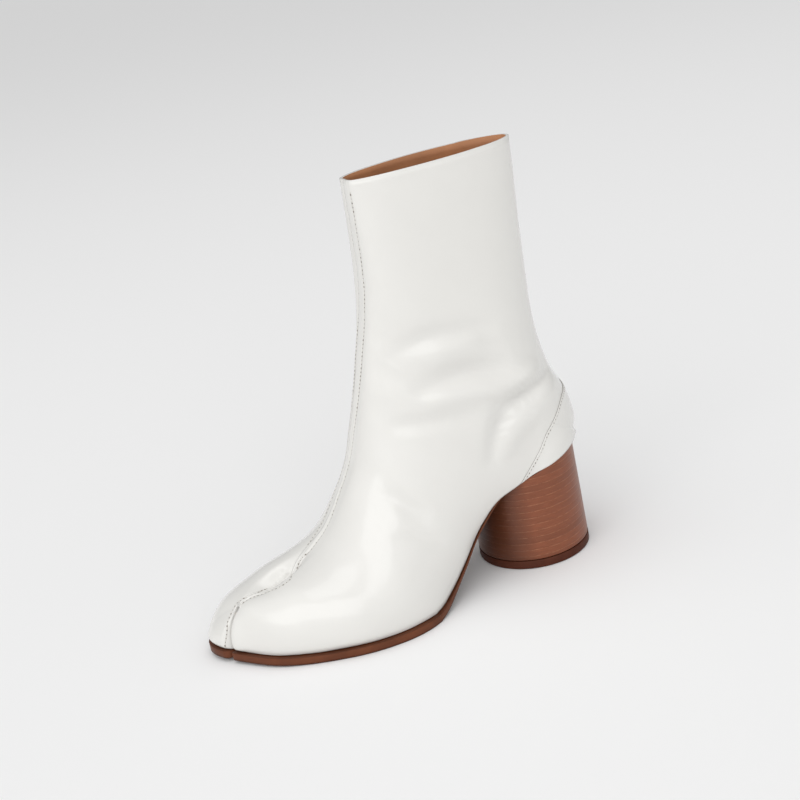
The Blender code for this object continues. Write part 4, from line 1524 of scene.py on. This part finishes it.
def area_light(name, power, width, height, place):
    data = bpy.data.lights.new(name, "AREA")
    data.shape = "RECTANGLE"
    data.size = width
    data.size_y = height
    data.energy = power
    made = new_object(name, data)
    made.location = place
    made.rotation_euler = (Vector(LIGHT_AIM) - Vector(place)).to_track_quat("-Z", "Y").to_euler()


class BOOT_OT_stage(bpy.types.Operator):
    """Set the floor, the studio light and the camera"""
    bl_idname = "boot.stage"
    bl_label = "Stage"

    def execute(self, context):
        settings = context.scene.boot_stage
        bm = bmesh.new()
        bmesh.ops.create_circle(bm, cap_ends=True, segments=96, radius=FLOOR_RADIUS)
        floor = object_from("floor", bm)
        floor.location.z = -FLOOR_DROP
        floor.data.materials.append(floor_material(settings.floor))

        world = bpy.data.worlds.new("studio")
        world.use_nodes = True
        tree = world.node_tree
        where = put(tree, "ShaderNodeTexCoord").outputs["Generated"]
        sky = ramp(tree, dot(tree, where, BRIGHT_SIDE), ((0.0, settings.horizon), (0.9, 1.0)))
        tree.links.new(sky, tree.nodes["Background"].inputs["Color"])
        tree.nodes["Background"].inputs["Strength"].default_value = settings.world
        context.scene.world = world

        area_light("overhead", settings.overhead, *OVERHEAD)
        area_light("softbox", settings.softbox, *SOFTBOX)

        data = bpy.data.cameras.new("view")
        data.sensor_width = 36.0
        data.lens = CAMERA_FOCAL_SHARE * data.sensor_width
        data.clip_start = 0.01
        camera = new_object("view", data)
        turn, lift, roll = (math.radians(v) for v in (CAMERA_AZIMUTH, CAMERA_ELEVATION, CAMERA_ROLL))
        level = Vector((math.cos(turn), math.sin(turn), 0))
        back = Vector((math.sin(turn), -math.cos(turn), 0)) * math.cos(lift)
        back.z = math.sin(lift)
        upright = back.cross(level)
        right = math.cos(roll) * level + math.sin(roll) * upright
        up = math.cos(roll) * upright - math.sin(roll) * level
        place = Vector(CAMERA_AIM) + back * CAMERA_DISTANCE
        camera.matrix_world = Matrix((
            (right.x, up.x, back.x, place.x),
            (right.y, up.y, back.y, place.y),
            (right.z, up.z, back.z, place.z),
            (0, 0, 0, 1),
        ))
        context.scene.camera = camera
        context.scene.view_settings.view_transform = "Standard"
        return {"FINISHED"}


class BOOT_PT_panel(bpy.types.Panel):
    """Lists what dresses the boot"""
    bl_idname = "BOOT_PT_panel"
    bl_label = "Split-toe boot"
    bl_space_type = "VIEW_3D"
    bl_region_type = "UI"
    bl_category = "Boot"

    def draw(self, context):
        for settings, steps in (
            (context.scene.boot_leather, (BOOT_OT_upper, BOOT_OT_stitches, BOOT_OT_insole)),
            (context.scene.boot_bottom, (BOOT_OT_sole, BOOT_OT_heel)),
            (context.scene.boot_stage, (BOOT_OT_stage,)),
        ):
            box = self.layout.box()
            for key in settings.bl_rna.properties.keys():
                if key not in ("rna_type", "name"):
                    box.prop(settings, key)
            for step in steps:
                box.operator(step.bl_idname)


STEPS = (BOOT_OT_upper, BOOT_OT_stitches, BOOT_OT_insole, BOOT_OT_sole, BOOT_OT_heel, BOOT_OT_stage)
CLASSES = (BootLeather, BootBottom, BootStage, *STEPS, BOOT_PT_panel)


def register():
    for one in CLASSES:
        bpy.utils.register_class(one)
    bpy.types.Scene.boot_leather = PointerProperty(type=BootLeather)
    bpy.types.Scene.boot_bottom = PointerProperty(type=BootBottom)
    bpy.types.Scene.boot_stage = PointerProperty(type=BootStage)


def unregister():
    del bpy.types.Scene.boot_stage
    del bpy.types.Scene.boot_bottom
    del bpy.types.Scene.boot_leather
    for one in reversed(CLASSES):
        bpy.utils.unregister_class(one)


def main():
    register()
    mottle_group()
    grain_group()
    layer_group()
    bpy.ops.boot.upper()
    bpy.ops.boot.stitches()
    bpy.ops.boot.insole()
    bpy.ops.boot.sole()
    bpy.ops.boot.heel()
    bpy.ops.boot.stage()


if __name__ == "__main__":
    main()
